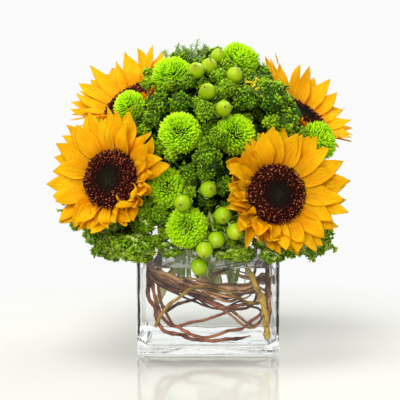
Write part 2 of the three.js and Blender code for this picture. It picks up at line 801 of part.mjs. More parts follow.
function berryAt(frame) {
  const { radius, height, sepal } = berry;
  const low = -height / 2;
  return loft([
    ring(frame, 8, 1.4, low - 1.2),
    ring(frame, 8, 4.6, low + 2, sepal, low + 4.2),
    ring(frame, 8, radius, low + height * 0.58),
  ], polar(frame, 0, 0, low + height));
}

function takeBerries() {
  sprigs.forEach(({ berries }, index) => {
    for (const at of berries) {
      take(`hypericum_${index + 1}`, vector(at), vector(at), berry.height / 2 + berry.care);
      takeWay(`hypericum_${index + 1}`, vector(at));
    }
  });
}

function addSprig(index, { foot, fork, berries }) {
  const name = `hypericum_${index + 1}`;
  const forkAt = settled(vector(fork), sprigStem.radius, [name]);
  const footAt = settled(vector(foot), sprigStem.radius, [name]);
  const overRim = new THREE.Vector3(fork[0] * 0.6, THREE.MathUtils.clamp(fork[1] * 0.7, -46, 46), rimPass);
  const main = bentClear(curveThrough([footAt, overRim, forkAt], 5), sprigStem.radius, [name]);
  takePath(name, main, sprigStem.radius);
  const pieces = [tube(main, sprigStem.radius, sprigStem.twig, sprigStem.sides)];
  holes.push(tube(main, sprigStem.radius, sprigStem.twig, sprigStem.sides, meshGap));
  for (const at of berries) {
    const away = vector(at).sub(forkAt).normalize();
    const frame = frameAt(vector(at), away);
    const seat = polar(frame, 0, 0, -berry.height / 2);
    const path = bentClear(curveThrough([forkAt, seat], 6), sprigStem.twig, [name]);
    takePath(name, path, sprigStem.twig);
    pieces.push(tube(path, sprigStem.twig, sprigStem.twig, 3), berryAt(frame));
  }
  addPiece(name, 'berry', joined(pieces));
}

// Greens

const greensStem = {
  radius: 1.7, twig: 1.1, knot: 3.2, sides: 3, foot: [30, 62], // the foot's distance from the axis and height
  rimLeast: 20, rimMost: 44, // the least and most distance from the axis where it leaves the vase
};
const domeCentre = vector(dome.centre);

// A point of the dome in a direction, at a share of its size.
function onDome(direction, share) {
  const [x, y, z] = dome.radii;
  const offset = new THREE.Vector3(direction.x * x, direction.y * y, direction.z * z);
  return domeCentre.clone().addScaledVector(offset, share);
}

// Points spread evenly over the dome by the golden angle, at a share of its size. Low ones hang further out.
function domePoints(count, share) {
  const golden = Math.PI * (3 - Math.sqrt(5));
  return Array.from({ length: count }, (_, i) => {
    const height = 0.99 - 1.7 * (i / (count - 1));
    const level = Math.sqrt(1 - height * height);
    const direction = new THREE.Vector3(level * Math.cos(i * golden), level * Math.sin(i * golden), height);
    const at = onDome(direction, share);
    const droop = height < 0 ? 1 + dome.droop * height * height : 1;
    at.x = domeCentre.x + (at.x - domeCentre.x) * droop;
    at.y *= droop;
    return at;
  });
}

// Upright grids of points before the rim, beside the lower blooms.
function curtainPoints() {
  const { depths, half, low, high, step } = dome.curtain;
  const points = [];
  for (const y of depths) {
    for (let x = -half; x <= half; x += step) {
      for (let z = low; z <= high; z += step) {
        points.push(new THREE.Vector3(x, y, z));
      }
    }
  }
  return points;
}

// The places of the budded heads. The widest gap between what stands already takes a head first, as large as
// fits, then the next widest, down to the smallest head that is worth its twig.
function greensHeads() {
  const heads = [];
  for (const { count, share, smallest, ball, core } of dome.shells) {
    const places = [...domePoints(count, share), ...dome.drape.map(vector), ...curtainPoints()];
    const spots = places.map((at) => {
      const finer = at.y < -20 ? dome.frontFiner : 1;
      const fits = heads.reduce((least, other) => Math.min(least, roomBeside(other, at)), freeRoom(at));
      return { at, fits, least: smallest * finer };
    });
    for (;;) {
      const open = spots.filter((spot) => spot.fits >= spot.least);
      if (open.length === 0) {
        break;
      }
      const widest = open.reduce((best, spot) => (spot.fits > best.fits ? spot : best));
      const head = { at: widest.at, radius: Math.min(widest.fits, dome.headRadius), ball, core };
      heads.push(head);
      for (const spot of spots) {
        spot.fits = Math.min(spot.fits, roomBeside(head, spot.at));
      }
    }
  }
  heads.forEach(({ at, radius }, number) => take(`head_${number + 1}`, at, at, radius * dome.overlap));
  return heads;
}

// The room at a point among what stands before the greens.
const freeRoom = (at) => Math.min(room(at, []) - meshGap, wallRoom(at) - meshGap, at.z - dome.hem);

// The room that a head leaves at a point, which may come nearer to it when both are of one spray.
function roomBeside({ at, radius }, point) {
  const share = nearestFork(at) === nearestFork(point) ? dome.fused : dome.overlap;
  return point.distanceTo(at) - radius * share - meshGap;
}

// The room from a point to the vase's wall.
function wallRoom(point) {
  const reach = Math.max(Math.abs(point.x), Math.abs(point.y));
  const aside = Math.max(reach - outside, inside - reach, 0);
  const above = Math.max(point.z - vase.side, 0);
  return Math.hypot(aside, above);
}

const forkDirections = [
  ...Array.from({ length: 6 }, (_, i) => ({ azimuth: i * 60 + 28, rise: -8 })),
  ...Array.from({ length: 4 }, (_, i) => ({ azimuth: i * 90 + 40, rise: 34 })),
  { azimuth: 250, rise: 78 },
];
const forks = forkDirections.map(({ azimuth, rise }) => {
  const [a, e] = [radians(azimuth), radians(rise)];
  const direction = new THREE.Vector3(Math.cos(a) * Math.cos(e), Math.sin(a) * Math.cos(e), Math.sin(e));
  return { direction, fork: onDome(direction, dome.forkShare) };
});

// The spray whose fork is nearest to a point.
function nearestFork(point) {
  return forks.reduce((best, { fork }, index) => {
    return fork.distanceTo(point) < forks[best].fork.distanceTo(point) ? index : best;
  }, 0);
}

function addGreens(heads) {
  const sprays = forks.map((each) => ({ ...each, heads: [] }));
  heads.forEach((each, number) => {
    sprays[nearestFork(each.at)].heads.push({ ...each, reserve: `head_${number + 1}` });
  });
  sprays.forEach(({ direction, fork: wanted, heads: own }, index) => {
    const name = `greens_${index + 1}`;
    const reserves = own.map((each) => each.reserve);
    const flat = new THREE.Vector3(direction.x, direction.y, 0).normalize();
    const fork = settled(wanted, greensStem.knot, [name, ...reserves]);
    const [footReach, footHeight] = greensStem.foot;
    const { rimLeast, rimMost } = greensStem;
    const rimReach = Math.min(rimMost, rimLeast + 40 * (1 - Math.abs(direction.z)));
    const footSpot = flat.clone().multiplyScalar(footReach).setZ(footHeight);
    const foot = settled(footSpot, greensStem.radius, [name]);
    const rim = flat.clone().multiplyScalar(rimReach).setZ(rimPass);
    const main = bentClear(curveThrough([foot, rim, fork], 5), greensStem.radius, [name, ...reserves]);
    takePath(name, main, greensStem.radius);
    const stem = (grow) => tube(main, greensStem.radius, greensStem.twig, greensStem.sides, grow);
    const pieces = [stem(0), knot(fork, greensStem.knot)];
    holes.push(stem(meshGap));
    const draw = draws(500 + index);
    for (const { from, to, radius, ball, core } of branches(fork, own)) {
      const path = bentClear(curveThrough([from, to], 7), greensStem.twig, [name, ...reserves]);
      takePath(name, path, greensStem.twig);
      pieces.push(tube(path, greensStem.twig, greensStem.twig, 3));
      pieces.push(head(frameAt(to, to.clone().sub(domeCentre)), {
        ball: balls[ball], core: radius * core, spike: radius * (dome.overlap - core),
        lean: 0.15, bareBelow: 0, flat: 1, draw,
      }));
    }
    addPiece(name, 'greens', joined(pieces));
  });
}

// How long a twig is, and as good as out of reach where the glass or a sunflower is in its way.
function twigLength(from, to) {
  const steps = 12;
  const margin = greensStem.twig + bendGap;
  const blocked = Array.from({ length: steps }, (_, i) => from.clone().lerp(to, i / steps)).some((at) => {
    return wallRoom(at) < margin || roomBySunflowers(at) < margin;
  });
  return from.distanceTo(to) + (blocked ? 100 : 0);
}

// The room round a point, to the nearest sunflower.
function roomBySunflowers(point) {
  return taken.filter((rod) => rod.node.startsWith('sunflower_')).reduce((least, rod) => {
    return Math.min(least, nearestOn(rod.a, rod.b, point).distanceTo(point) - rod.radius);
  }, Infinity);
}

// The twigs of a spray: the head nearest to what already hangs on the fork comes next, on a twig from there.
function branches(fork, heads) {
  const reached = [fork];
  const left = [...heads];
  const twigs = [];
  while (left.length > 0) {
    let best = { gap: Infinity };
    for (const head of left) {
      for (const from of reached) {
        const gap = twigLength(from, head.at);
        if (gap < best.gap) {
          best = { gap, from, head };
        }
      }
    }
    twigs.push({ ...best.head, from: best.from, to: best.head.at });
    reached.push(best.head.at);
    left.splice(left.indexOf(best.head), 1);
  }
  return twigs;
}

// Water

function addWater() {
  const body = loft(hollowRings(meshGap, waterLevel));
  addPiece('water', 'water', holes.reduce((left, hole) => left.subtract(hole), body));
}

addVase();
addWillow();
takeMums();
takeBerries();
sunflowers.forEach((each, index) => addSunflower(index + 1, each));
const greenHeads = greensHeads();
mumSprays.forEach((each, index) => addMumSpray(index, each));
sprigs.forEach((each, index) => addSprig(index, each));
addGreens(greenHeads);
addWater();

export default root;
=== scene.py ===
import math
import bpy
import numpy as np
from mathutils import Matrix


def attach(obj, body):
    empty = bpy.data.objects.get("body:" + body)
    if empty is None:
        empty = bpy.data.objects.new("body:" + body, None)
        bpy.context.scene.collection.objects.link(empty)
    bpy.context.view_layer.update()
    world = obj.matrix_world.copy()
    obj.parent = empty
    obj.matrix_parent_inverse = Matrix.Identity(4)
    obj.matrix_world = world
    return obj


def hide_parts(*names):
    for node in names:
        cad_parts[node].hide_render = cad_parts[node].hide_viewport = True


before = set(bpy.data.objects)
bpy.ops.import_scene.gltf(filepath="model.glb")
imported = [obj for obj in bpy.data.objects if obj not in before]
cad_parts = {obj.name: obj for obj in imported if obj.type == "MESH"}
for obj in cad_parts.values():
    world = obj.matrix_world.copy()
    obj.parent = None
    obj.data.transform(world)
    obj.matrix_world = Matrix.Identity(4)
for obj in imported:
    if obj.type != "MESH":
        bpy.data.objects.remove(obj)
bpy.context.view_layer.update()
mm = 0.001  # every size below is in millimetres and becomes metres in the mesh
attributeNames = ("along", "across", "tint", "outer")  # what a skin tells its material at each corner


def unit(a):  # directions of length one
    return a / np.maximum(np.linalg.norm(a, axis=-1, keepdims=True), 1e-9)


def fullTurn(count):  # equal steps of angle round a circle
    return np.arange(count) * 2 * math.pi / count


def goldenTurn(k):  # the angle of petal or leaf k round its axis
    return k * math.pi * (3 - math.sqrt(5))


def around(turn, u, v):  # directions at an angle from u towards v: cosine times u plus sine times v
    return np.cos(turn)[..., None] * u + np.sin(turn)[..., None] * v


def turned(d, u, v, w):  # directions given along x, y and z, laid along u, v and w
    return d[..., :1] * u + d[..., 1:2] * v + d[..., 2:] * w


def runUp(steps):  # the running sum of each row of steps, from zero
    return np.concatenate([np.zeros((len(steps), 1)), np.cumsum(steps, 1)], 1)


def pointsAt(t, length, line):  # the points of a line at lengths t along it
    return np.stack([np.interp(t, length, line[:, k]) for k in range(3)], 1)


# Three directions at a bloom: w the way it looks, u level across it, v up its face.
def frameOf(facing):
    w = unit(np.array(facing, float))
    u = np.array([1.0, 0, 0]) if abs(w[2]) > 0.98 else unit(np.cross([0, 0, 1.0], w))
    return u, np.cross(w, u), w


# Directions spread over a ball cap by the golden angle: the cosine from the pole falls in equal steps.
def goldenCap(count, firstCos, lastCos, turn=0.0):
    k = np.arange(count) + 0.5
    c = firstCos + (lastCos - firstCos) * k / count
    s = np.sqrt(np.maximum(0, 1 - c * c))
    a = goldenTurn(k) + turn
    return np.stack([s * np.cos(a), s * np.sin(a), c], 1)


# Triangles over rings of points, one after another, and over two points that close the first and the last.
def ringFaces(rows, sides):
    e = np.arange(sides)
    f = (e + 1) % sides
    start = np.arange(rows - 1)[:, None] * sides
    a, b = (start + e).ravel(), (start + f).ravel()
    last, total = (rows - 1) * sides, rows * sides
    return np.concatenate([
        np.stack([a, b, b + sides], 1), np.stack([a, b + sides, a + sides], 1),
        np.stack([f, e, np.full(sides, total)], 1),
        np.stack([last + e, last + f, np.full(sides, total + 1)], 1),
    ])


# Closed skins, many at once. An ellipse, width by thickness, is carried along each midline. Its edges are
# bowed by arch times the cosine squared and tilted by wave times the cosine. First and last stations close
# to a point.
def skins(mid, across, width, thick, arch=0.0, wave=0.0, sides=8, tint=0.5, outer=0.5):
    n, s = mid.shape[:2]
    along = unit(np.gradient(mid, axis=1))
    if across.ndim == 2:  # one direction for all stations of a midline
        across = across[:, None]
    across = unit(across - along * np.sum(across * along, -1, keepdims=True))
    lift = np.cross(along, across)
    width, thick, arch, wave = (np.broadcast_to(a, (n, s))[:, 1:-1, None] for a in (width, thick, arch, wave))
    turn = fullTurn(sides)
    c, d = np.cos(turn), np.sin(turn)
    rise = thick * d + arch * c * c + wave * c
    ring = mid[:, 1:-1, None] + (width * c)[..., None] * across[:, 1:-1, None]
    ring += rise[..., None] * lift[:, 1:-1, None]
    points = np.concatenate([ring.reshape(n, -1, 3), mid[:, :1], mid[:, -1:]], 1)
    per = points.shape[1]
    faces = (ringFaces(s - 2, sides)[None] + np.arange(n)[:, None, None] * per).reshape(-1, 3)
    alongValue = np.concatenate([np.repeat(np.linspace(0, 1, s)[1:-1], sides), [0, 1]])
    acrossValue = np.concatenate([np.tile(c, s - 2), [0, 0]])
    return {
        "points": points.reshape(-1, 3),
        "faces": faces,
        "along": np.tile(alongValue, n),
        "across": np.tile(acrossValue, n),
        "tint": np.repeat(np.broadcast_to(tint, (n,)), per).astype(float),
        "outer": np.repeat(np.broadcast_to(outer, (n,)), per).astype(float),
    }


# Several skins as one.
def together(parts):
    start = np.cumsum([0] + [len(p["points"]) for p in parts[:-1]])
    whole = {key: np.concatenate([p[key] for p in parts]) for key in parts[0] if key != "faces"}
    whole["faces"] = np.concatenate([p["faces"] + s for p, s in zip(parts, start)])
    return whole


# A smooth line through points: Catmull-Rom between each two, in equal steps of the parameter.
def smoothLine(points, count):
    p = np.array(points, float)
    p = np.concatenate([2 * p[:1] - p[1:2], p, 2 * p[-1:] - p[-2:-1]])
    t = np.linspace(0, len(p) - 3 - 1e-6, count)
    i = t.astype(int)
    f = (t - i)[:, None]
    a, b, c, d = p[i], p[i + 1], p[i + 2], p[i + 3]
    square, cube = 2 * a - 5 * b + 4 * c - d, 3 * b - a - 3 * c + d
    return 0.5 * (2 * b + (c - a) * f + square * f ** 2 + cube * f ** 3)


# Round stems along lines of equally many points: (n, stations, 3) and their radii. A point just beyond each
# end closes it.
def rods(lines, radius, sides, tint=0.5, outer=0.5, beyond=0.02):
    along = unit(np.gradient(lines, axis=1))
    side = unit(np.cross(along[:, 0], [0.21, 0.35, 0.91]))
    across = np.zeros_like(lines)
    for k in range(lines.shape[1]):  # the side is carried on from station to station, without a twist
        side = unit(side - along[:, k] * np.sum(side * along[:, k], -1, keepdims=True))
        across[:, k] = side
    ends = np.concatenate([lines[:, :1], lines, lines[:, -1:]], 1)
    across = np.concatenate([across[:, :1], across, across[:, -1:]], 1)
    radius = np.broadcast_to(radius, lines.shape[:2])
    radius = np.concatenate([radius[:, :1], radius, radius[:, -1:]], 1)
    ends[:, 0] -= along[:, 0] * beyond
    ends[:, -1] += along[:, -1] * beyond
    return skins(ends, across, radius, radius, sides=sides, tint=tint, outer=outer)


# A CAD node's triangles with their doubled corners merged, in millimetres.
def cadShape(node):
    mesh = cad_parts[node].data
    mesh.calc_loop_triangles()
    co = np.zeros(len(mesh.vertices) * 3, np.float32)
    mesh.vertices.foreach_get("co", co)
    tri = np.zeros(len(mesh.loop_triangles) * 3, np.int32)
    mesh.loop_triangles.foreach_get("vertices", tri)
    co = co.reshape(-1, 3).astype(float) / mm
    _, first, back = np.unique(np.round(co, 2), axis=0, return_index=True, return_inverse=True)
    tri = back.reshape(-1)[tri].reshape(-1, 3)
    tri = tri[(tri[:, 0] != tri[:, 1]) & (tri[:, 1] != tri[:, 2]) & (tri[:, 2] != tri[:, 0])]
    return co[first], tri


def cornerNormals(points, faces):  # each corner's normal is the sum of its faces' normals
    flat = np.cross(points[faces[:, 1]] - points[faces[:, 0]], points[faces[:, 2]] - points[faces[:, 0]])
    normals = np.zeros_like(points)
    for k in range(3):
        np.add.at(normals, faces[:, k], flat)
    return unit(normals)


# A piece from a skin. Its attributes go to the mesh for the materials to read.
def makePiece(name, skin, materials, nodes, faceMaterials=None, smooth=True, softLevels=0):
    points = np.ascontiguousarray(skin["points"] * mm, np.float32)
    faces = np.ascontiguousarray(skin["faces"], np.int32)
    mesh = bpy.data.meshes.new(name)
    mesh.vertices.add(len(points))
    mesh.vertices.foreach_set("co", points.ravel())
    mesh.loops.add(faces.size)
    mesh.loops.foreach_set("vertex_index", faces.ravel())
    mesh.polygons.add(len(faces))
    mesh.polygons.foreach_set("loop_start", np.arange(len(faces), dtype=np.int32) * 3)
    mesh.polygons.foreach_set("use_smooth", np.full(len(faces), smooth))
    for material in materials:
        mesh.materials.append(material)
    if faceMaterials is not None:
        mesh.polygons.foreach_set("material_index", np.ascontiguousarray(faceMaterials, np.int32))
    mesh.update(calc_edges=True)
    for key in attributeNames:
        if key in skin:
            values = mesh.attributes.new(key, "FLOAT", "POINT").data
            values.foreach_set("value", skin[key].astype(np.float32))
    piece = bpy.data.objects.new(name, mesh)
    bpy.context.scene.collection.objects.link(piece)
    if softLevels:
        soft = piece.modifiers.new("soft", "SUBSURF")
        soft.levels = soft.render_levels = softLevels
    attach(piece, "root")
    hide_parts(*nodes)


def newMaterial(name):
    material = bpy.data.materials.new(name)
    material.use_nodes = True
    material.node_tree.nodes.clear()
    return material, material.node_tree


def feed(tree, socket, value):  # a socket takes another node's output or a plain value
    if isinstance(value, bpy.types.NodeSocket):
        tree.links.new(value, socket)
    else:
        socket.default_value = value


def addNode(tree, kind, setting=None, **sockets):
    node = tree.nodes.new("ShaderNode" + kind)
    for key, value in (setting or {}).items():
        setattr(node, key, value)
    for key, value in sockets.items():
        feed(tree, node.inputs[key.replace("_", " ")], value)
    return node


def attributes(tree, *names):
    return [addNode(tree, "Attribute", {"attribute_name": name}).outputs["Fac"] for name in names]


def place(tree):
    return addNode(tree, "TexCoord").outputs["Object"]


def noise(tree, vector, scale, detail, rough=0.55):
    node = addNode(tree, "TexNoise", Vector=vector, Scale=scale, Detail=detail, Roughness=rough)
    return node.outputs["Fac"]


def ramp(tree, factor, *stops):  # each stop: position, then red, green and blue
    node = addNode(tree, "ValToRGB", Fac=factor)
    elements = node.color_ramp.elements
    while len(elements) < len(stops):
        elements.new(0.5)
    for element, (position, *rgb) in zip(elements, stops):
        element.position = position
        element.color = (*rgb, 1)
    return node.outputs["Color"]


def blend(tree, share, first, second):  # two colours
    node = addNode(tree, "Mix", {"data_type": "RGBA"})
    for socket, value in zip((node.inputs[0], node.inputs[6], node.inputs[7]), (share, first, second)):
        feed(tree, socket, value)
    return node.outputs[2]


def blendShaders(tree, share, first, second):
    node = addNode(tree, "MixShader", Fac=share)
    for socket, value in zip(list(node.inputs)[1:], (first, second)):
        feed(tree, socket, value)
    return node.outputs[0]


def maths(tree, operation, a, b):
    node = addNode(tree, "Math", {"operation": operation})
    for socket, value in zip(node.inputs, (a, b)):
        feed(tree, socket, value)
    return node.outputs[0]


def times(tree, a, b):
    return maths(tree, "MULTIPLY", a, b)


def mean(tree, a, b):
    return maths(tree, "ADD", times(tree, a, 0.5), times(tree, b, 0.5))


def spread(tree, value, low, high, newLow=0.0, newHigh=1.0):
    return addNode(tree, "MapRange", Value=value, From_Min=low, From_Max=high, To_Min=newLow,
                   To_Max=newHigh).outputs["Result"]


def bump(tree, height, strength, distance):
    return addNode(tree, "Bump", Height=height, Strength=strength, Distance=distance).outputs["Normal"]


# Light falls through thin tissue: the surface shader is mixed with a translucent one.
def finish(material, tree, colour, rough, normal, through=0.0, throughColour=None, gloss=0.35):
    surface = addNode(tree, "BsdfPrincipled", Base_Color=colour, Roughness=rough, Normal=normal)
    surface.inputs["Specular IOR Level"].default_value = gloss
    shader = surface.outputs[0]
    if through:
        glow = addNode(tree, "BsdfTranslucent", Color=throughColour or colour, Normal=normal)
        shader = blendShaders(tree, through, shader, glow.outputs[0])
    addNode(tree, "OutputMaterial", Surface=shader)
    return material


# Vase: a pressed glass cube. Rings are counted for its rounds, its outer wall, its lip and its hollow above
# and below the water.
vaseLook = {
    "side": 127, "wall": 4.5, "floor": 9, "edgeRound": 7, "innerRound": 2, "footRound": 4.5, "floorRound": 8,
    "lip": 1.4, "lipFrom": 0.3, "bowlDip": 0.4, "water": 80, "surfaceBand": 0.2, "waver": 0.5,
    "roundRings": 7, "wallRings": 16, "lipRings": 5, "dryRings": 7, "wetRings": 10, "cornerPoints": 9,
    "sidePoints": 14,
}
glassLook = {
    "pressed": 1.46, "atWater": 1.128, "waterTop": 1.333, "tint": (0.985, 0.995, 0.99, 1),
    "shade": (0.96, 0.98, 0.97, 1), "ripple": (75.0, 75.0, 22.0), "rippleDepth": 0.0016,
}


# A level square with round corners: four straight runs and corner arcs, from its half-side and radius.
def squareRing(half, corner, height):
    look = vaseLook
    turn = np.linspace(0, math.pi / 2, look["cornerPoints"])
    run = np.linspace(-1, 1, look["sidePoints"] + 2)[1:-1] * (half - corner)
    arcX, arcY = half - corner + corner * np.cos(turn), half - corner + corner * np.sin(turn)
    x = np.concatenate([np.full(len(run), half), arcX])
    y = np.concatenate([run, arcY])
    quarters = []
    for quarter in range(4):
        c, s = round(math.cos(quarter * math.pi / 2)), round(math.sin(quarter * math.pi / 2))
        quarters.append(np.stack([c * x - s * y, s * x + c * y, np.full(len(x), float(height))], 1))
    return np.concatenate(quarters)


# The glass is one closed skin: rings run up the outside, over the lip and down the hollow to the middle of
# its floor. Every ring wavers a little in and out, as pressed glass does, by sums of slow sines. A ring is
# its half-side, corner radius, height and share of the waver, which is below zero in the hollow.
def vaseSkin():
    look = vaseLook
    half, wall, corner, lip = look["side"] / 2, look["wall"], look["edgeRound"], look["lip"]
    innerHalf, innerCorner, shoulder = half - wall, corner - wall + look["innerRound"], look["side"] - lip
    quarter = np.linspace(math.pi / 2, 0, look["roundRings"])
    rings = []
    for a in quarter:
        inset = look["footRound"] * (1 - math.cos(a))
        rings.append((half - inset, corner, look["footRound"] * (1 - math.sin(a)), 0))
    for z in np.linspace(look["footRound"] + 4, shoulder, look["wallRings"]):
        rings.append((half, corner, z, 1))
    for a in np.linspace(look["lipFrom"], math.pi - look["lipFrom"], look["lipRings"]):
        lipHalf = half - wall / 2 + (wall / 2) * math.cos(a)
        rings.append((lipHalf, corner - wall / 2, shoulder + lip * math.sin(a), 0.3))
    outerRings = len(rings)
    dry = np.linspace(shoulder, look["water"] + 1, look["dryRings"])
    wetted = np.linspace(look["water"] - 4, look["floor"] + look["floorRound"], look["wetRings"])
    for z in np.concatenate([dry, [look["water"]], wetted]):
        rings.append((innerHalf, innerCorner, z, -1))
    for a in quarter[::-1][1:]:
        inset = look["floorRound"] * (1 - math.cos(a))
        height = look["floor"] + look["floorRound"] * (1 - math.sin(a))
        rings.append((innerHalf - inset, innerCorner + inset * 0.3, height, -0.6))
    rows = []
    for halfSide, radius, z, wavy in rings:
        ring = squareRing(halfSide, radius, z)
        x, y = ring[:, 0], ring[:, 1]
        slow = np.sin(x * 0.11 + z * 0.05 + 1) * np.cos(y * 0.09 - z * 0.07)
        slow = slow + 0.6 * np.sin(z * 0.16 + x * 0.05 - y * 0.06 + wavy)
        inward = (np.abs(slow) * look["waver"] * abs(wavy))[:, None] * (1 if wavy > 0 else -0.5)
        ring[:, :2] -= unit(ring[:, :2]) * inward
        rows.append(ring)
    grid = np.array(rows)
    ends = [[0, 0, 0.0], [0, 0, look["floor"] - look["bowlDip"]]]
    points = np.concatenate([grid.reshape(-1, 3), ends])
    faces = ringFaces(*grid.shape[:2])
    inHollow = faces.min(1) // grid.shape[1] >= outerRings
    wet = inHollow & (points[faces].mean(1)[:, 2] < look["water"])  # these faces meet water, not air
    return {"points": points, "faces": faces}, wet.astype(int)


# Glass and water bend light by their index and ripple upright. They are clear to rays that cast shadows.
def glassMaterial(name, ior):
    look = glassLook
    material, tree = newMaterial(name)
    upright = addNode(tree, "Mapping", Vector=place(tree), Scale=look["ripple"]).outputs[0]
    normal = bump(tree, noise(tree, upright, 1.0, 2.5), 0.3, look["rippleDepth"])
    glass = addNode(tree, "BsdfPrincipled", Base_Color=look["tint"], Roughness=0.0, IOR=ior, Normal=normal)
    glass.inputs["Transmission Weight"].default_value = 1
    clear = addNode(tree, "BsdfTransparent", Color=look["shade"])
    shadow = addNode(tree, "LightPath").outputs["Is Shadow Ray"]
    shader = blendShaders(tree, shadow, glass.outputs[0], clear.outputs[0])
    addNode(tree, "OutputMaterial", Surface=shader)
    return material


def clearMaterial(name):  # where the water only touches glass or stems, nothing bends the light
    material, tree = newMaterial(name)
    addNode(tree, "OutputMaterial", Surface=addNode(tree, "BsdfTransparent").outputs[0])
    return material


vaseShape, wetFaces = vaseSkin()
pressedGlass = glassMaterial("pressedGlass", glassLook["pressed"])
glassAtWater = glassMaterial("glassAtWater", glassLook["atWater"])
makePiece("vaseGlass", vaseShape, [pressedGlass, glassAtWater], ["vase"], wetFaces)
print("vase:", len(vaseShape["faces"]), "triangles")

waterPoints, waterFaces = cadShape("water")
atTop = waterPoints[waterFaces].mean(1)[:, 2] > vaseLook["water"] - vaseLook["surfaceBand"]
waterMaterials = [clearMaterial("waterAtGlass"), glassMaterial("waterTop", glassLook["waterTop"])]
makePiece("waterBody", {"points": waterPoints, "faces": waterFaces}, waterMaterials, ["water"],
          atTop.astype(int), smooth=False)
print("water done")


# Curly willow: coiled twigs, with thin shoots wound round the thick ones
willowLook = {
    "twigs": ["upper", "middle", "lower", "low_red", "low_brown", "brown_right", "shoot_looped", "shoot_low",
              "gold_left", "gold_right", "shoot_band"],
    "golds": ["gold_left", "gold_right"], "blunt": ["gold_left", "gold_right", "shoot_band"],
    "thin": {"gold_left": 0.66, "gold_right": 0.85, "low_brown": 0.9},
    "kinked": {"low_red": 1.9, "low_brown": 1.9, "shoot_low": 1.6},
    "wound": {"upper": 5, "middle": 4, "lower": 3, "shoot_looped": 1, "brown_right": 2},
    "solidSides": 4, "stations": 150, "sides": 14, "grow": 0.78, "ridge": 0.09, "taper": 9, "thinnest": 0.35,
    "knots": 12, "knotRise": 0.3, "knotWidth": 1.8, "kinks": 22, "kink": 0.4, "kinkEase": 8,
    "strandStations": 90, "strandSides": 8, "strandRadius": 1.2, "strandOff": 3.6, "strandEase": 9,
    "reach": 57.5,
}


# The midline and radii of a twig's solid: its rings are met one after the other from one end cap, where
# corners have the fewest neighbours, and each ring's mean is a point of the line.
def cadLine(node, sides):
    points, faces = cadShape(node)
    n = len(points)
    near = np.zeros((n, n), bool)
    for k in range(3):
        near[faces[:, k], faces[:, (k + 1) % 3]] = True
    near |= near.T
    caps = np.argsort(near.sum(1), kind="stable")[:sides * 2]
    start = caps[0]
    ring = caps[np.argsort(np.linalg.norm(points[caps] - points[start], axis=1))[:sides]]
    seen = np.zeros(n, bool)
    line, radii = [], []
    while len(ring):
        seen[ring] = True
        middle = points[ring].mean(0)
        line.append(middle)
        radii.append(np.linalg.norm(points[ring] - middle, axis=1).mean())
        ring = np.nonzero(near[ring].any(0) & ~seen)[0]
    return np.array(line), np.array(radii)


# Equal steps along a line, by its length.
def evenly(line, radii, count, fineCount=600):
    fine = smoothLine(line, fineCount)
    fineRadii = np.interp(np.linspace(0, 1, fineCount), np.linspace(0, 1, len(radii)), radii)
    length = np.concatenate([[0], np.cumsum(np.linalg.norm(np.diff(fine, axis=0), axis=1))])
    t = np.linspace(0, length[-1], count)
    return pointsAt(t, length, fine), np.interp(t, length, fineRadii), t


# A side shoot that winds loosely round its twig: at every station it stands off by a slow turn about the
# twig's direction, nearer at both ends, where it grows from the twig, and it keeps inside the glass.
def woundStrand(line, length, rng):
    look = willowLook
    first, last = rng.uniform(0, 0.25), rng.uniform(0.7, 1)
    t = np.linspace(first, last, look["strandStations"]) * length[-1]
    mid = pointsAt(t, length, line)
    along = unit(np.gradient(mid, axis=0))
    side = unit(np.cross(along, [0.1, 0.9, 0.3]))
    turn = rng.uniform(0, 6) + t * rng.uniform(0.035, 0.06) + 0.9 * np.sin(t * 0.05 + rng.uniform(0, 6))
    share = np.linspace(0, 1, look["strandStations"])
    ease = np.minimum(1, np.minimum(share, 1 - share) * look["strandEase"])
    off = look["strandOff"] * rng.uniform(0.8, 1.5) * ease
    mid += around(turn, side, np.cross(along, side)) * off[:, None]
    mid[:, :2] = np.clip(mid[:, :2], -look["reach"], look["reach"])
    radius = look["strandRadius"] * rng.uniform(0.8, 1.35) * (1 - 0.35 * share)
    return rods(mid[None], radius[None], look["strandSides"], tint=rng.uniform())


# A twig with its side shoots. Its solid's midline is kinked by random steps that ease out at both ends. Its
# girth swells in a bell at every knot and runs out at a grown tip, while a cut end stays thick. Its bark is
# ridged: each corner stands in or out a little.
def twigSkin(twig, seed):
    look = willowLook
    line, radii, length = evenly(*cadLine("willow_" + twig, look["solidSides"]), look["stations"])
    end = length[-1]
    rng = np.random.default_rng(seed)
    swell = np.ones(look["stations"])
    for at in rng.uniform(0.04, 0.96, look["knots"]) * end:
        swell += look["knotRise"] * np.exp(-((length - at) / look["knotWidth"]) ** 2)
    bends = np.linspace(0, end, look["kinks"])
    kink = pointsAt(length, bends, rng.normal(0, look["kink"], (3, look["kinks"])).T)
    ease = np.minimum(1, np.minimum(length, end - length) / look["kinkEase"])
    line += kink * ease[:, None] * look["kinked"].get(twig, 1)
    girth = radii * look["grow"] * look["thin"].get(twig, 1) * swell
    if twig not in look["blunt"]:
        girth *= np.clip((end - length) / look["taper"], look["thinnest"], 1)
    strands = [rods(line[None], girth[None], look["sides"], tint=rng.uniform())]
    for _ in range(look["wound"].get(twig, 0)):
        strands.append(woundStrand(line, length, rng))
    skin = together(strands)
    ridge = rng.normal(0, look["ridge"], len(skin["points"]))
    skin["points"] += cornerNormals(skin["points"], skin["faces"]) * ridge[:, None]
    return skin


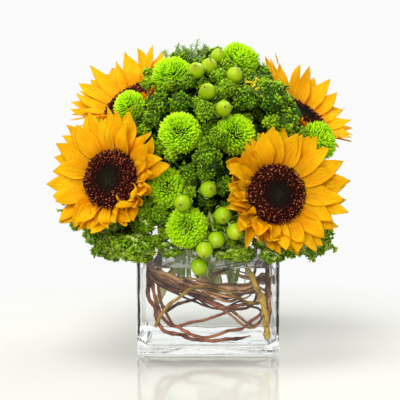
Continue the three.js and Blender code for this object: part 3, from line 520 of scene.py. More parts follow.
def barkMaterial(name, dark, mid, light):
    material, tree = newMaterial(name)
    along, across, tint = attributes(tree, "along", "across", "tint")
    streak = addNode(tree, "CombineXYZ", X=times(tree, across, 3.0), Y=times(tree, along, 26.0), Z=tint)
    grain = noise(tree, streak.outputs[0], 1.6, 5.0, 0.65)
    patch = noise(tree, place(tree), 60.0, 4.0)
    level = maths(tree, "ADD", mean(tree, grain, patch), spread(tree, tint, 0.0, 1.0, -0.11, 0.11))
    colour = ramp(tree, level, (0.38, *dark), (0.5, *mid), (0.62, *light))
    return finish(material, tree, colour, 0.55, bump(tree, grain, 0.6, 0.0008), gloss=0.12)


brownBark = barkMaterial("brownBark", (0.035, 0.012, 0.005), (0.2, 0.076, 0.03), (0.52, 0.29, 0.13))
redBark = barkMaterial("redBark", (0.016, 0.005, 0.003), (0.1, 0.025, 0.012), (0.34, 0.11, 0.055))
goldBark = barkMaterial("goldBark", (0.08, 0.032, 0.004), (0.26, 0.14, 0.016), (0.48, 0.33, 0.05))
for seed, twig in enumerate(willowLook["twigs"], 40):
    isGold = twig in willowLook["golds"]
    bark = goldBark if isGold else redBark if "low" in twig else brownBark
    makePiece("twig_" + twig, twigSkin(twig, seed), [bark], ["willow_" + twig])
print("willow done")


# Green stems are streaked along their length and blotched.
def stemMaterial(name, dark, light, rough=0.5, through=0.12):
    material, tree = newMaterial(name)
    where = place(tree)
    long = addNode(tree, "Mapping", Vector=where, Scale=(160.0, 160.0, 14.0)).outputs[0]
    streak = noise(tree, long, 1.0, 4.0)
    patch = noise(tree, where, 22.0, 3.0)
    colour = ramp(tree, mean(tree, streak, patch), (0.35, *dark), (0.65, *light))
    return finish(material, tree, colour, rough, bump(tree, streak, 0.35, 0.0005), through)


# The sunflower stems' green is lightened as painted light, to make up for the shade inside the vase.
sunStemLitGreen = stemMaterial("sunflowerStemLitGreen", (0.62, 0.7, 0.2), (0.9, 0.92, 0.48), 0.5, 0.35)
mumStemGreen = stemMaterial("mumStemGreen", (0.4, 0.58, 0.07), (0.7, 0.82, 0.22), 0.5, 0.35)
neckGreen = stemMaterial("neckGreen", (0.1, 0.2, 0.03), (0.3, 0.44, 0.1), 0.6)
bractGreen = stemMaterial("bractGreen", (0.06, 0.11, 0.03), (0.2, 0.28, 0.1), 0.7)


# A CAD solid's own skin, pushed out a little along its normals, as the smoothing takes some off.
def grownSkin(node, grow):
    points, faces = cadShape(node)
    skin = {"points": points + cornerNormals(points, faces) * grow, "faces": faces}
    for key in attributeNames:
        skin[key] = np.full(len(points), 0.5)
    return skin


# Sunflowers: rays in layers round a ring, a disc of florets set on a low dome, and green bracts behind
sunflowerLook = {
    "ringRadius": 26, "rayFoot": 3, "rayLength": 36, "rayWidth": 7.4, "rayThick": 0.4, "layers": 3,
    "inLayer": 17, "layerLengths": (0.92, 1.0, 1.04), "step": 1.3, "layerCup": 8, "stations": 15, "sides": 12,
    "discRadius": 26.6, "discHeight": 7.6, "discLift": 1.9, "discRings": 14, "discSides": 40, "under": 0.6,
    "discTop": 0.97, "discFoot": 0.84, "florets": 720, "floretStations": 6, "floretWidth": 0.66,
    "floretSink": 1.2, "neckFrom": 112,
    "bracts": 24, "bractStations": 10, "bractRing": 17, "bractLength": (19, 26), "bractWidth": 5.2,
    "bractThick": 0.35, "bractDrop": 4.6, "bractRow": 1.4,
}
sunflowers = [
    {"at": (-82, -72, 159.4), "facing": (-0.42, -0.86, 0.28), "cup": 18, "curlAt": -40, "spread": 120,
     "curl": 55, "shorten": 0.3, "lengthen": 0.13, "wide": 1.14, "seed": 3},
    {"at": (56.6, -78, 147.3), "facing": (0.26, -0.93, 0.2), "cup": 13, "curlAt": 203, "spread": 120,
     "curl": 66, "shorten": 0.2, "lengthen": 0.24, "wide": 1.14, "seed": 8},
    {"at": (-73, 36, 220), "facing": (-0.52, -0.31, 0.8), "cup": 32, "curlAt": -25, "spread": 110, "curl": 0,
     "shorten": 0.45, "lengthen": 0.62, "wide": 1.0, "seed": 5,
     "sight": [(-66, -30, 244), (-98, -34, 226), (-84, -20, 240), (-53, -20, 260), (-55, -24, 248)]},
    {"at": (88, 38, 206), "facing": (0.52, -0.31, 0.8), "cup": 32, "curlAt": 238, "spread": 110, "curl": 0,
     "shorten": 0.3, "lengthen": 0.55, "wide": 1.1, "seed": 11, "sight": [(88, -40, 216), (74, -10, 238)]},
]


# Ray petals. Each midline leaves the ring at a slope that turns with its length; the width swells from a
# narrow base to its widest before the middle and runs out to a point; the blade is channelled at its base
# and waves. Near the side of the flower that curls, rays are shorter and bend more; on the far side they
# are longer.
def raySkin(flower):
    look = sunflowerLook
    rng = np.random.default_rng(flower["seed"])
    u, v, w = frameOf(flower["facing"])
    n = look["layers"] * look["inLayer"]
    layer = np.arange(n) % look["layers"]
    angle = fullTurn(n) + rng.normal(0, 0.035, n)
    turn = np.abs((np.degrees(angle) - flower["curlAt"] + 540) % 360 - 180)
    curled = np.maximum(0, 1 - turn / flower["spread"])
    reach = (1 - flower["shorten"] * curled) * (1 + flower["lengthen"] * np.maximum(0, turn / 90 - 1))
    curled = curled * (flower["curl"] > 0)
    t = np.linspace(0, 1, look["stations"])[None]
    reach = reach * np.array(look["layerLengths"])[layer]
    length = (look["rayLength"] * rng.uniform(0.86, 1.1, n) * reach)[:, None]
    cup = np.radians(flower["cup"] + (1 - layer) * look["layerCup"] + rng.normal(0, 3, n))[:, None]
    bend = np.radians(flower["curl"] * curled + rng.normal(-4, 10, n))[:, None]
    flick = np.radians(rng.normal(0, 20, n) * (0.7 + 2.2 * curled))[:, None]
    slope = (cup + bend * t + flick * t ** 3)[:, :-1]
    step = length / (look["stations"] - 1)
    out = look["ringRadius"] - look["rayFoot"] + runUp(np.cos(slope) * step)
    rise = (1 - layer)[:, None] * look["step"] + runUp(np.sin(slope) * step)
    sway = (rng.normal(0, 0.075, n) * (1 + 0.8 * curled))[:, None] * t ** 2
    radial = around(angle[:, None] + sway, u, v)
    mid = np.array(flower["at"]) + out[..., None] * radial + rise[..., None] * w
    tangent = np.cross(w, radial)
    twist = (rng.normal(0, 0.24, n) + rng.normal(0, 1.0, n) * curled)[:, None] * t
    across = around(twist, tangent, np.cross(unit(np.gradient(mid, axis=1)), tangent))
    widest = rng.uniform(0.36, 0.5, n)[:, None]
    taper = np.clip((t - widest) / (1 - widest), 0, 1)
    shape = (0.45 + 0.55 * np.sin(np.clip(t / widest, 0, 1) * math.pi / 2)) * (1 - taper ** 1.75)
    width = look["rayWidth"] * flower["wide"] * rng.uniform(0.78, 1.24, n)[:, None] * shape
    width = width * (1 - 0.2 * curled[:, None])
    arch = width * (0.4 * (1 - t) + rng.normal(0, 0.24, n)[:, None] * t + 0.8 * curled[:, None] * np.sqrt(t))
    crumple = (0.3 + 0.5 * curled)[:, None]
    wave = width * crumple * np.sin(t * rng.uniform(5, 11, n)[:, None] + rng.uniform(0, 6, n)[:, None]) * t
    thick = look["rayThick"] * (0.4 + 0.6 * shape)
    return skins(mid, across, width, thick, arch, wave, look["sides"], rng.uniform(0, 1, n), layer / 2)


# The disc's height over its ring at a share of the radius: a slow sine that falls off at the edge.
def domeHeight(r):
    swell = 0.62 + 0.38 * np.sin(np.clip(r, 0, 1) * math.pi * 0.8)
    return sunflowerLook["discHeight"] * swell * np.sqrt(np.maximum(0, 1 - r ** 6))


# The disc: a low dome, a little sunk in its middle, under florets set by the golden angle. The outer
# florets stand open, long and slim; the inner ones are short buds.
def discSkin(flower):
    look = sunflowerLook
    rng = np.random.default_rng(flower["seed"] + 50)
    u, v, w = frameOf(flower["facing"])
    at = np.array(flower["at"]) + w * look["discLift"]
    radius = look["discRadius"]
    r = np.concatenate([[0.02], np.linspace(0.08, 1, look["discRings"])])
    a = fullTurn(look["discSides"])
    height = domeHeight(r) - look["under"]
    top = at + (radius * look["discTop"] * r)[:, None, None] * around(a, u, v) + height[:, None, None] * w
    low = at + radius * look["discFoot"] * around(a, u, v)
    grid = np.concatenate([top, low[None]])
    points = np.concatenate([grid.reshape(-1, 3), [at + (domeHeight(0.0) - look["under"]) * w, at]])
    body = {
        "points": points, "faces": ringFaces(*grid.shape[:2])[:, ::-1],
        "along": np.zeros(len(points)), "across": np.zeros(len(points)), "tint": np.full(len(points), 0.3),
        "outer": np.concatenate([np.repeat(np.append(r, 1), len(a)), [0, 1]]),
    }
    count = look["florets"]
    k = np.arange(count) + 0.5
    share = np.sqrt(k / count)
    side = around(goldenTurn(k), u, v)
    foot = at + side * (share * radius)[:, None] + w * (domeHeight(share) - look["floretSink"])[:, None]
    foot += rng.normal(0, 0.35, (count, 3))
    opened = np.clip((share - 0.4) / 0.2, 0, 1)
    stray = rng.normal(0, 0.17, (count, 3)) * (0.3 + opened)[:, None]
    lean = unit(w + side * (0.3 * share ** 3)[:, None] + stray)
    tall = 1.7 + 2.2 * opened * rng.uniform(0, 1.15, count)
    tall = tall * (1 - 0.35 * np.clip((share - 0.9) / 0.1, 0, 1))
    t = np.linspace(0, 1, look["floretStations"])
    mid = foot[:, None] + lean[:, None] * tall[:, None, None] * t[None, :, None]
    profile = np.interp(t, [0, 0.3, 0.75, 1], [0.8, 0.75, 1.0, 0.6])[None]
    width = (look["floretWidth"] * rng.uniform(0.8, 1.25, count))[:, None] * profile
    tint = rng.uniform(0, 1, count)
    return together([body, skins(mid, np.cross(lean, side), width, width, sides=5, tint=tint, outer=share)])


# Bracts behind the rays: short pointed green leaves in two rows, bowed back at their tips.
def bractSkin(flower):
    look = sunflowerLook
    rng = np.random.default_rng(flower["seed"] + 90)
    u, v, w = frameOf(flower["facing"])
    n = look["bracts"]
    isFront = np.arange(n) % 2
    angle = fullTurn(n) + rng.normal(0, 0.05, n)
    t = np.linspace(0, 1, look["bractStations"])[None]
    length = (rng.uniform(*look["bractLength"], n) * np.where(isFront, 1, 0.85))[:, None]
    slope = np.radians(flower["cup"] - 14 + rng.normal(0, 6, n))[:, None]
    slope = (slope + np.radians(rng.normal(-18, 20, n))[:, None] * t)[:, :-1]
    step = length / (look["bractStations"] - 1)
    out = look["bractRing"] + runUp(np.cos(slope) * step)
    rise = -look["bractDrop"] - np.where(isFront, 0, look["bractRow"])[:, None] + runUp(np.sin(slope) * step)
    radial = around(angle, u, v)
    mid = np.array(flower["at"]) + out[..., None] * radial[:, None] + rise[..., None] * w
    shape = np.sin(np.clip(0.25 + 0.75 * t, 0, 1) * math.pi) ** 0.8 * (1 - t ** 3) + 0.02
    width = look["bractWidth"] * shape * np.ones((n, 1))
    tint = rng.uniform(0, 1, n)
    return skins(mid, np.cross(w, radial), width, look["bractThick"], -width * 0.25, tint=tint)


def rayMaterial():
    material, tree = newMaterial("goldenPetal")
    along, across, tint = attributes(tree, "along", "across", "tint")
    vein = addNode(tree, "CombineXYZ", X=times(tree, across, 7.0), Y=times(tree, along, 1.6),
                   Z=times(tree, tint, 40.0)).outputs[0]
    lines = noise(tree, vein, 1.5, 3.0, 0.6)
    patch = noise(tree, place(tree), 60.0, 2.0)
    base = ramp(tree, along, (0.0, 0.5, 0.12, 0.0), (0.18, 0.82, 0.34, 0.0), (0.45, 0.96, 0.55, 0.0),
                (1.0, 1.0, 0.7, 0.003))
    deep = blend(tree, 0.8, base, (0.76, 0.26, 0.0, 1))
    mixed = blend(tree, spread(tree, lines, 0.36, 0.58, 0.7, 0.0), base, deep)
    mixed = blend(tree, spread(tree, tint, 0.0, 1.0, 0.0, 0.35), mixed, deep)
    colour = blend(tree, spread(tree, patch, 0.35, 0.7, 0.0, 0.4), mixed, (1.0, 0.8, 0.008, 1))
    normal = bump(tree, lines, 0.8, 0.0012)
    return finish(material, tree, colour, 0.62, normal, 0.45, (1.0, 0.64, 0.0, 1), 0.1)


def discMaterial():
    material, tree = newMaterial("darkFlorets")
    along, tint, outer = attributes(tree, "along", "tint", "outer")
    body = ramp(tree, outer, (0.0, 0.016, 0.014, 0.007), (0.3, 0.01, 0.006, 0.003),
                (0.5, 0.014, 0.003, 0.002), (0.75, 0.03, 0.005, 0.002), (1.0, 0.02, 0.004, 0.002))
    tipColour = ramp(tree, tint, (0.0, 0.014, 0.003, 0.002), (0.4, 0.07, 0.011, 0.006),
                     (0.72, 0.24, 0.04, 0.02), (0.98, 0.55, 0.17, 0.08))
    atTip = times(tree, spread(tree, along, 0.55, 0.9), spread(tree, outer, 0.42, 0.62))
    colour = blend(tree, atTip, body, tipColour)
    grain = noise(tree, place(tree), 900.0, 2.0)
    return finish(material, tree, colour, 0.9, bump(tree, grain, 0.3, 0.0003), gloss=0.06)


goldenPetal, darkFlorets = rayMaterial(), discMaterial()
for number, flower in enumerate(sunflowers, 1):
    name, node = f"sunflower{number}", f"sunflower_{number}"
    makePiece(name + "Rays", raySkin(flower), [goldenPetal], [node + "_rays"])
    makePiece(name + "Disc", discSkin(flower), [darkFlorets], [node + "_disc"])
    stem = grownSkin(node + "_stem", grow=0.5)
    whole = together([stem, bractSkin(flower)])
    isBract = np.arange(len(whole["faces"])) >= len(stem["faces"])
    # Below the neck height the stem takes the green lightened as painted light; above, the darker neck green.
    isNeck = whole["points"][whole["faces"]].mean(1)[:, 2] > sunflowerLook["neckFrom"]
    makePiece(name + "Stem", whole, [sunStemLitGreen, neckGreen, bractGreen], [node + "_stem"],
              np.where(isBract, 2, isNeck.astype(int)), softLevels=1)
print("sunflowers done")


# Button chrysanthemums: pompons, each with its place and the way it looks. One is smaller than its solid.
mumLook = {
    "stems": 6, "sizes": {6: 0.8}, "radius": 18.8, "root": 9.5, "petals": 430, "width": 1.36, "thick": 0.28,
    "stations": 6, "sides": 6, "backCos": -0.5, "squash": 0.06,
    "eyeCos": 0.6, "eyeDip": 0.2, "eyeNarrow": 0.3,
}
mums = [
    ((-35.6, -73, 152.6), (-0.1, -0.97, 0.2)), ((-18.3, -85, 120.3), (-0.05, -0.98, 0.1)),
    ((-24.2, -78, 200), (0.02, -0.93, 0.36)), ((22.9, -64, 197.6), (0.25, -0.88, 0.38)),
    ((-32, -35, 247.9), (-0.2, -0.6, 0.77)), ((-68.7, -45, 221), (-0.5, -0.66, 0.55)),
    ((29, -10, 262.2), (0.45, -0.15, 0.88)), ((-6, 56, 236), (-0.1, 0.6, 0.8)),
    ((98.3, -31, 190), (0.86, -0.38, 0.34)), ((44, 86, 168), (0.4, 0.9, 0.15)),
    ((-42, 80, 192), (-0.4, 0.85, 0.35)), ((-98, 40, 146), (-0.9, 0.4, 0.15)),
]


# A pompon. Petals stand on a ball by the golden angle, from the eye to behind the widest place. Each
# midline runs out along its direction and leans towards the axis; the petals of the eye are shorter, so
# that it dips.
def mumSkin(at, facing, seed, size):
    look = mumLook
    at = np.array(at)
    rng = np.random.default_rng(seed)
    u, v, w = frameOf(facing)
    n = look["petals"]
    cap = goldenCap(n, 1.0, look["backCos"], rng.uniform(0, 6)) + rng.normal(0, 0.03, (n, 3))
    d = unit(turned(cap, u, v, w))
    c = np.clip(d @ w, -1, 1)
    t = np.linspace(0, 1, look["stations"])[None]
    nearEye = np.clip((c - look["eyeCos"]) / (1 - look["eyeCos"]), 0, 1)
    reach = look["radius"] * (1 - look["eyeDip"] * nearEye ** 1.5) * rng.uniform(0.92, 1.05, n)
    out = look["root"] + (reach - look["root"])[:, None] * t
    lean = 0.25 * np.clip(1 - c, 0, 1.2) + 0.2 * np.clip((c - 0.8) / 0.2, 0, 1) + rng.normal(0, 0.07, n)
    heading = unit(d[:, None] + w * (lean[:, None] * t ** 1.5)[..., None])
    mid = at + heading * out[..., None]
    mid -= w * look["squash"] * np.sum((mid - at) * w, -1, keepdims=True)
    shape = np.interp(t, [0, 0.45, 0.8, 0.93, 1], [0.45, 0.75, 1.0, 0.8, 0.3])
    narrow = 1 - look["eyeNarrow"] * nearEye
    width = look["width"] * shape * narrow[:, None] * rng.uniform(0.85, 1.15, n)[:, None]
    eye = (c - look["backCos"]) / (1 - look["backCos"])
    return skins(at + (mid - at) * size, np.cross(w, d), width, look["thick"], width * 0.5,
                 sides=look["sides"], tint=rng.uniform(0, 1, n), outer=eye)


def mumMaterial():
    material, tree = newMaterial("limePetal")
    along, tint, eye = attributes(tree, "along", "tint", "outer")
    base = ramp(tree, along, (0.2, 0.36, 0.66, 0.001), (0.55, 0.52, 0.82, 0.003), (0.82, 0.62, 0.88, 0.006),
                (1.0, 0.68, 0.9, 0.03))
    yellow = blend(tree, spread(tree, eye, 0.8, 1.0, 0.0, 0.35), base, (0.62, 0.84, 0.015, 1))
    colour = blend(tree, spread(tree, tint, 0.0, 1.0, 0.0, 0.22), yellow, (0.34, 0.68, 0.004, 1))
    grain = noise(tree, place(tree), 500.0, 2.0)
    normal = bump(tree, grain, 0.15, 0.0003)
    return finish(material, tree, colour, 0.6, normal, 0.42, (0.66, 0.95, 0.01, 1), 0.15)


limePetal = mumMaterial()
for number, (at, facing) in enumerate(mums, 1):
    skin = mumSkin(at, facing, 200 + number, mumLook["sizes"].get(number, 1))
    makePiece(f"mum{number}", skin, [limePetal], [f"mum_{number}"])
for number in range(1, mumLook["stems"] + 1):
    skin = grownSkin(f"mum_stem_{number}", grow=0.45)
    makePiece(f"mumStem{number}", skin, [mumStemGreen], [f"mum_stem_{number}"], softLevels=2)
print("chrysanthemums done")


# Hypericum sprigs: each is the fork of its stems, then its berries
berryLook = {
    "radius": 7.6, "height": 16.2, "rings": 22, "sides": 22, "styles": 3, "styleStations": 5,
    "styleLength": 1.7, "styleSpread": 1.2, "styleRadius": 0.25, "sepals": 5, "sepalStations": 9,
    "sepalWidth": 2.7, "sepalThick": 0.3, "drawFrom": 10.5, "drawTo": 0.45,
}
sprigs = [
    ((-2, -20, 232), [(-10.6, -52, 253.2), (1, -40, 257), (9, -25, 266)]),
    ((10, -38, 214), [(23, -50, 249.4), (-1, -65, 235.4), (13, -75, 221)]),
    ((-8, -62, 150), [(-22, -99, 142.7), (0, -92, 153.7)]),
    ((12, -70, 140), [(12, -93, 131.2), (22.9, -92, 117.3)]),
    ((1, -68, 132), [(6.6, -90, 109.7), (-3.5, -98.5, 102.4), (-8, -82, 84.9)]),
    ((6, 58, 188), [(16, 82, 206), (2, 90, 198), (22, 88, 190)]),
]


# One berry: an egg carried along its axis, short styles at its dark tip, and sepals that hug its base. It
# points away from its fork and out of the bunch.
def berrySkin(at, fork, seed):
    look = berryLook
    at = np.array(at)
    rng = np.random.default_rng(seed)
    w = unit(at - np.array(fork, float) + rng.normal(0, 2.5, 3))
    w = unit(w + np.array([0, -0.55, 0.1]) * (1 if at[1] < 0 else -1))
    u, v, w = frameOf(w)
    t = np.linspace(0, 1, look["rings"])
    size = rng.uniform(0.93, 1.05)
    radius, height = look["radius"] * size, look["height"] * size
    profile = (radius * np.sin(math.pi * t ** 0.86) ** 0.62 * (1 - 0.1 * t))[None]
    mid = at + w * (height * (t[:, None] - 0.5))
    egg = skins(mid[None], u[None], profile, profile, sides=look["sides"], tint=rng.uniform(), outer=0.0)
    side = around(np.arange(look["styles"]) * 2.1 + rng.uniform(0, 2), u, v)
    s = np.linspace(0, 1, look["styleStations"])[None, :, None]
    mid = at + w * height * 0.49 + w * look["styleLength"] * s + side[:, None] * look["styleSpread"] * s ** 2
    styles = skins(mid, np.cross(w, side), look["styleRadius"], look["styleRadius"], sides=4, outer=1.0)
    n = look["sepals"]
    side = around(fullTurn(n) + rng.uniform(0, 1), u, v)
    s = np.linspace(0, 1, look["sepalStations"])
    hug = radius * np.interp(s, [0, 0.3, 0.6, 1], [0.2, 0.78, 0.98, 1.1]) + 0.25
    rise = height * np.interp(s, [0, 0.3, 0.6, 1], [-0.52, -0.43, -0.3, -0.18])
    mid = at + side[:, None] * hug[None, :, None] + w * rise[None, :, None]
    width = look["sepalWidth"] * np.sin(np.clip(0.15 + 0.85 * s, 0, 1) * math.pi)[None] ** 0.7 + 0.05
    sepals = skins(mid, np.cross(w, side), width, look["sepalThick"], width * 0.25, tint=rng.uniform(0, 1, n))
    return together([egg, styles, sepals])


# The sprig's own stems, with the solid's berries drawn in so that they stay inside the new ones.
def sprigSkin(number, berries):
    look = berryLook
    skin = grownSkin(f"hypericum_{number}", grow=0.4)
    for at in berries:
        gap = skin["points"] - np.array(at)
        near = np.linalg.norm(gap, axis=1) < look["drawFrom"]
        skin["points"][near] = np.array(at) + gap[near] * look["drawTo"]
    return skin


def berryMaterial():
    material, tree = newMaterial("waxyBerry")
    along, tint, part = attributes(tree, "along", "tint", "outer")
    where = place(tree)
    patch = noise(tree, where, 90.0, 3.0)
    fleck = noise(tree, where, 700.0, 2.0)
    skinColour = ramp(tree, along, (0.0, 0.14, 0.28, 0.004), (0.35, 0.25, 0.41, 0.001),
                      (0.8, 0.33, 0.47, 0.001), (0.97, 0.26, 0.32, 0.002), (1.0, 0.05, 0.03, 0.006))
    skinColour = blend(tree, spread(tree, patch, 0.4, 0.7, 0.0, 0.35), skinColour, (0.44, 0.52, 0.012, 1))
    skinColour = blend(tree, spread(tree, tint, 0.0, 1.0, 0.0, 0.35), skinColour, (0.13, 0.32, 0.004, 1))
    sepalColour = ramp(tree, along, (0.0, 0.22, 0.36, 0.03), (1.0, 0.4, 0.54, 0.1))
    colour = blend(tree, spread(tree, part, 0.2, 0.4), skinColour, sepalColour)
    colour = blend(tree, spread(tree, part, 0.7, 0.9), colour, (0.05, 0.025, 0.01, 1))
    return finish(material, tree, colour, 0.33, bump(tree, fleck, 0.08, 0.0002), gloss=0.22)


waxyBerry = berryMaterial()
for number, (fork, berries) in enumerate(sprigs, 1):
    stem = sprigSkin(number, berries)
    whole = together([stem] + [berrySkin(at, fork, 300 + number * 10 + k) for k, at in enumerate(berries)])
    onBerry = np.arange(len(whole["faces"])) >= len(stem["faces"])
    makePiece(f"hypericum{number}", whole, [mumStemGreen, waxyBerry], [f"hypericum_{number}"],
              onBerry.astype(int))
print("hypericum done")


# Greens: budded sprays. Tufts of leaflets cover the solids' heads. Filler heads close the dome between them:
# on shells of the dome, on a grid before the rim, and small ones over the rim.
greensLook = {
    "sprays": 11, "cell": 5.0, "perCell": 8, "leaflets": 8, "leafLength": 3.85, "leafWidth": 1.35,
    "leafThick": 0.22, "leafStations": (0, 0.6, 1.0), "leafShape": (0, 1.12, 0), "openTo": -0.05,
    "lift": (-2.0, 1.2), "shrink": 0.05, "shadedStemFrom": 134,
    "centre": (-4, 0, 166), "radii": (112, 97, 104), "shells": [0.95, 0.86, 0.76], "fillerCount": 900,
    "domeCos": (0.99, -0.72), "shellTurn": 9, "flare": 0.5,
    "fillerRadius": 11.0, "leastRoom": 3.8, "gap": 8.5, "farthest": 55, "headReach": 6.5,
    "overlap": 2.5, "tuftsAtSix": 13, "headBack": -0.35, "headShare": 0.8, "headSink": 1.5,
    "small": [(-54, -75, 110), (-45, -75, 108), (20, -75, 104), (31, -75, 100), (-40, -75, 100)],
    # The dark keys that follow small place tufts painted near black, as shade deep in the dome.
    "smallRadius": 6.5, "dark": [0.68, 0.55], "shadeTuftSize": 2.9, "shadeTuftIn": 4, "shadeTuftFrom": 128, "shadeTuftOut": 68,
    "shadeTuftRoom": 2, "glassHalf": 63.5, "glassTop": 127, "twigRadius": 0.7, "twigStations": 8, "twigSides": 5,
    "rimGrid": {"depths": (-71, -79), "half": 68, "low": 97, "high": 132, "step": 5, "open": (-46, 22, 103)},
    "hem": {"from": -64, "ease": 6, "middle": -14, "half": 34, "sides": 0.32, "open": 0.6, "below": 104},
}


# Tips of the solid's budded heads: corners where just three faces meet.
def budTips(points, faces):
    return np.bincount(faces.ravel(), minlength=len(points)) == 3


# Tufts of small cupped leaflets. Each leaflet leaves its tuft's foot in a direction of a golden-angle cap
# turned round the tuft's heading, and bows outwards by the square of its length.
def tuftSkin(foot, heading, rng, shade, size=1.0):
    look = greensLook
    n, m = len(foot), look["leaflets"]
    u = unit(np.cross(heading, rng.normal(0, 1, (n, 3))))
    v = np.cross(heading, u)
    d = turned(goldenCap(m, 0.97, look["openTo"])[None], u[:, None], v[:, None], heading[:, None])
    d = unit(d + rng.normal(0, 0.2, (n, m, 3))).reshape(-1, 3)
    root, axis = np.repeat(foot, m, 0), np.repeat(heading, m, 0)
    sideways = unit(np.cross(d, axis + rng.normal(0, 0.2, (n * m, 3))))
    t = np.array(look["leafStations"])[None, :, None]
    length = (look["leafLength"] * rng.uniform(0.72, 1.25, n * m) * size)[:, None, None]
    bow = (np.cross(sideways, d) * rng.normal(-0.25, 0.3, n * m)[:, None])[:, None]
    mid = root[:, None] + d[:, None] * length * t + bow * length * t ** 2
    width = (look["leafWidth"] * rng.uniform(0.7, 1.3, n * m) * size)[:, None] * np.array([look["leafShape"]])
    tilt = width * rng.normal(0, 0.4, n * m)[:, None]
    # Each leaflet carries its tuft's shade as outer, painted dark by the leaf material where it is low.
    return skins(mid, sideways, width, look["leafThick"], width * 0.5, tilt, sides=4,
                 tint=rng.uniform(0, 1, n * m), outer=np.repeat(np.broadcast_to(shade, (n,)), m))


# Feet of tufts on the faces that meet a tip: points picked by area, of which each cell of a grid keeps one.
# A tuft's shade is the share of the way from the head's core to the tip: painted shade, darker between tips.
def tuftsOnHeads(points, faces, rng):
    look = greensLook
    isTip = budTips(points, faces)
    f = faces[isTip[faces].any(1)]
    if not len(f):
        return np.zeros((0, 3)), np.zeros((0, 3)), np.zeros(0)
    flat = np.cross(points[f[:, 1]] - points[f[:, 0]], points[f[:, 2]] - points[f[:, 0]])
    area = np.linalg.norm(flat, axis=1)
    count = int(area.sum() / 2 / look["cell"] ** 2 * look["perCell"])
    pick = rng.choice(len(f), count, p=area / area.sum())
    s, r = np.sqrt(rng.uniform(0, 1, count)), rng.uniform(0, 1, count)
    weights = np.stack([1 - s, s * (1 - r), s * r], 1)
    spot = (points[f[pick]] * weights[..., None]).sum(1)
    _, kept = np.unique(np.floor(spot / look["cell"]).astype(int), axis=0, return_index=True)
    pick, spot, weights = pick[kept], spot[kept], weights[kept]
    atTip = isTip[f[pick]]
    tipNormal = (cornerNormals(points, faces)[f[pick]] * atTip[..., None]).sum(1)
    heading = unit(unit(flat[pick]) * 0.5 + unit(tipNormal) * 0.8 + rng.normal(0, 0.25, spot.shape))
    return spot, heading, (weights * atTip).sum(1)


greensShapes = {k: cadShape(f"greens_{k}") for k in range(1, greensLook["sprays"] + 1)}
sprayTips = {k: points[budTips(points, faces)] for k, (points, faces) in greensShapes.items()}
tips = np.concatenate(list(sprayTips.values()))
tipSpray = np.repeat(list(sprayTips), [len(t) for t in sprayTips.values()])


def nearestTips(spots):  # the number of the tip that is nearest to each spot
    return np.linalg.norm(spots[:, None] - tips[None], axis=2).argmin(1)


# Balls that the greens keep clear of: where a berry, bloom, disc or ray stands, and the space through which
# it is seen from the front. Each ball before a bloom is a distance ahead of it and a radius.
clearLook = {
    "berry": 8.0, "mum": ((0, 17.0), (14, 15.0), (26, 13.0), (38, 11.0)), "disc": ((8, 27.0), (30, 22.0)),
    "sightFrom": 14, "sight": 13.0, "sightBalls": 5, "rayRings": (24, 38, 50), "rayTurns": 16, "ray": 8.0,
}


def keepClear():
    look = clearLook
    balls = [(np.array(at), look["berry"]) for _, berries in sprigs for at in berries]
    for at, facing in mums:
        w = unit(np.array(facing, float))
        balls += [(np.array(at) + w * ahead, radius) for ahead, radius in look["mum"]]
    for flower in sunflowers:
        u, v, w = frameOf(flower["facing"])
        at = np.array(flower["at"])
        balls += [(at + w * ahead, radius) for ahead, radius in look["disc"]]
        start = at + w * look["sightFrom"]
        for end in flower.get("sight", []):
            shares = np.linspace(0.2, 1, look["sightBalls"])
            balls += [(start + (np.array(end) - start) * share, look["sight"]) for share in shares]
        for side in around(fullTurn(look["rayTurns"]), u, v):
            for r in look["rayRings"]:
                lift = math.tan(math.radians(flower["cup"])) * (r - look["rayRings"][0])
                balls.append((at + r * side + w * lift, look["ray"]))
    return np.array([at for at, _ in balls]), np.array([radius for _, radius in balls])


clearAt, clearRadius = keepClear()


def bloomRoom(spots):  # the room from each spot to the nearest of those balls
    return (np.linalg.norm(spots[:, None] - clearAt[None], axis=2) - clearRadius[None]).min(1)


# Places on a shell of the dome, by the golden angle. Those below its middle stand out over the rim.
def fillerSpots(share):
    look = greensLook
    centre, radii = np.array(look["centre"], float), np.array(look["radii"], float)
    d = goldenCap(look["fillerCount"], *look["domeCos"], share * look["shellTurn"])
    spots = centre + d * radii * share
    low = d[:, 2] < 0
    spots[low, :2] = centre[:2] + (spots[low, :2] - centre[:2]) * (1 + look["flare"] * d[low, 2:] ** 2)
    return spots


def rimSpots():  # the upright grid before the rim, on all four sides of the vase
    grid = greensLook["rimGrid"]
    x, z = np.meshgrid(np.arange(-grid["half"], grid["half"] + 1, grid["step"]),
                       np.arange(grid["low"], grid["high"], grid["step"]))
    x, z = x.ravel(), z.ravel()
    openFrom, openTo, openLow = grid["open"]  # the front middle stays open for the mums and berries
    front = np.concatenate([np.stack([x, np.full(len(x), float(y)), z], 1) for y in grid["depths"]])
    shown = front[(front[:, 0] < openFrom) | (front[:, 0] > openTo) | (front[:, 2] > openLow)]
    return np.concatenate([shown, front * [1, -1, 1], front[:, [1, 0, 2]], front[:, [1, 0, 2]] * [-1, 1, 1]])


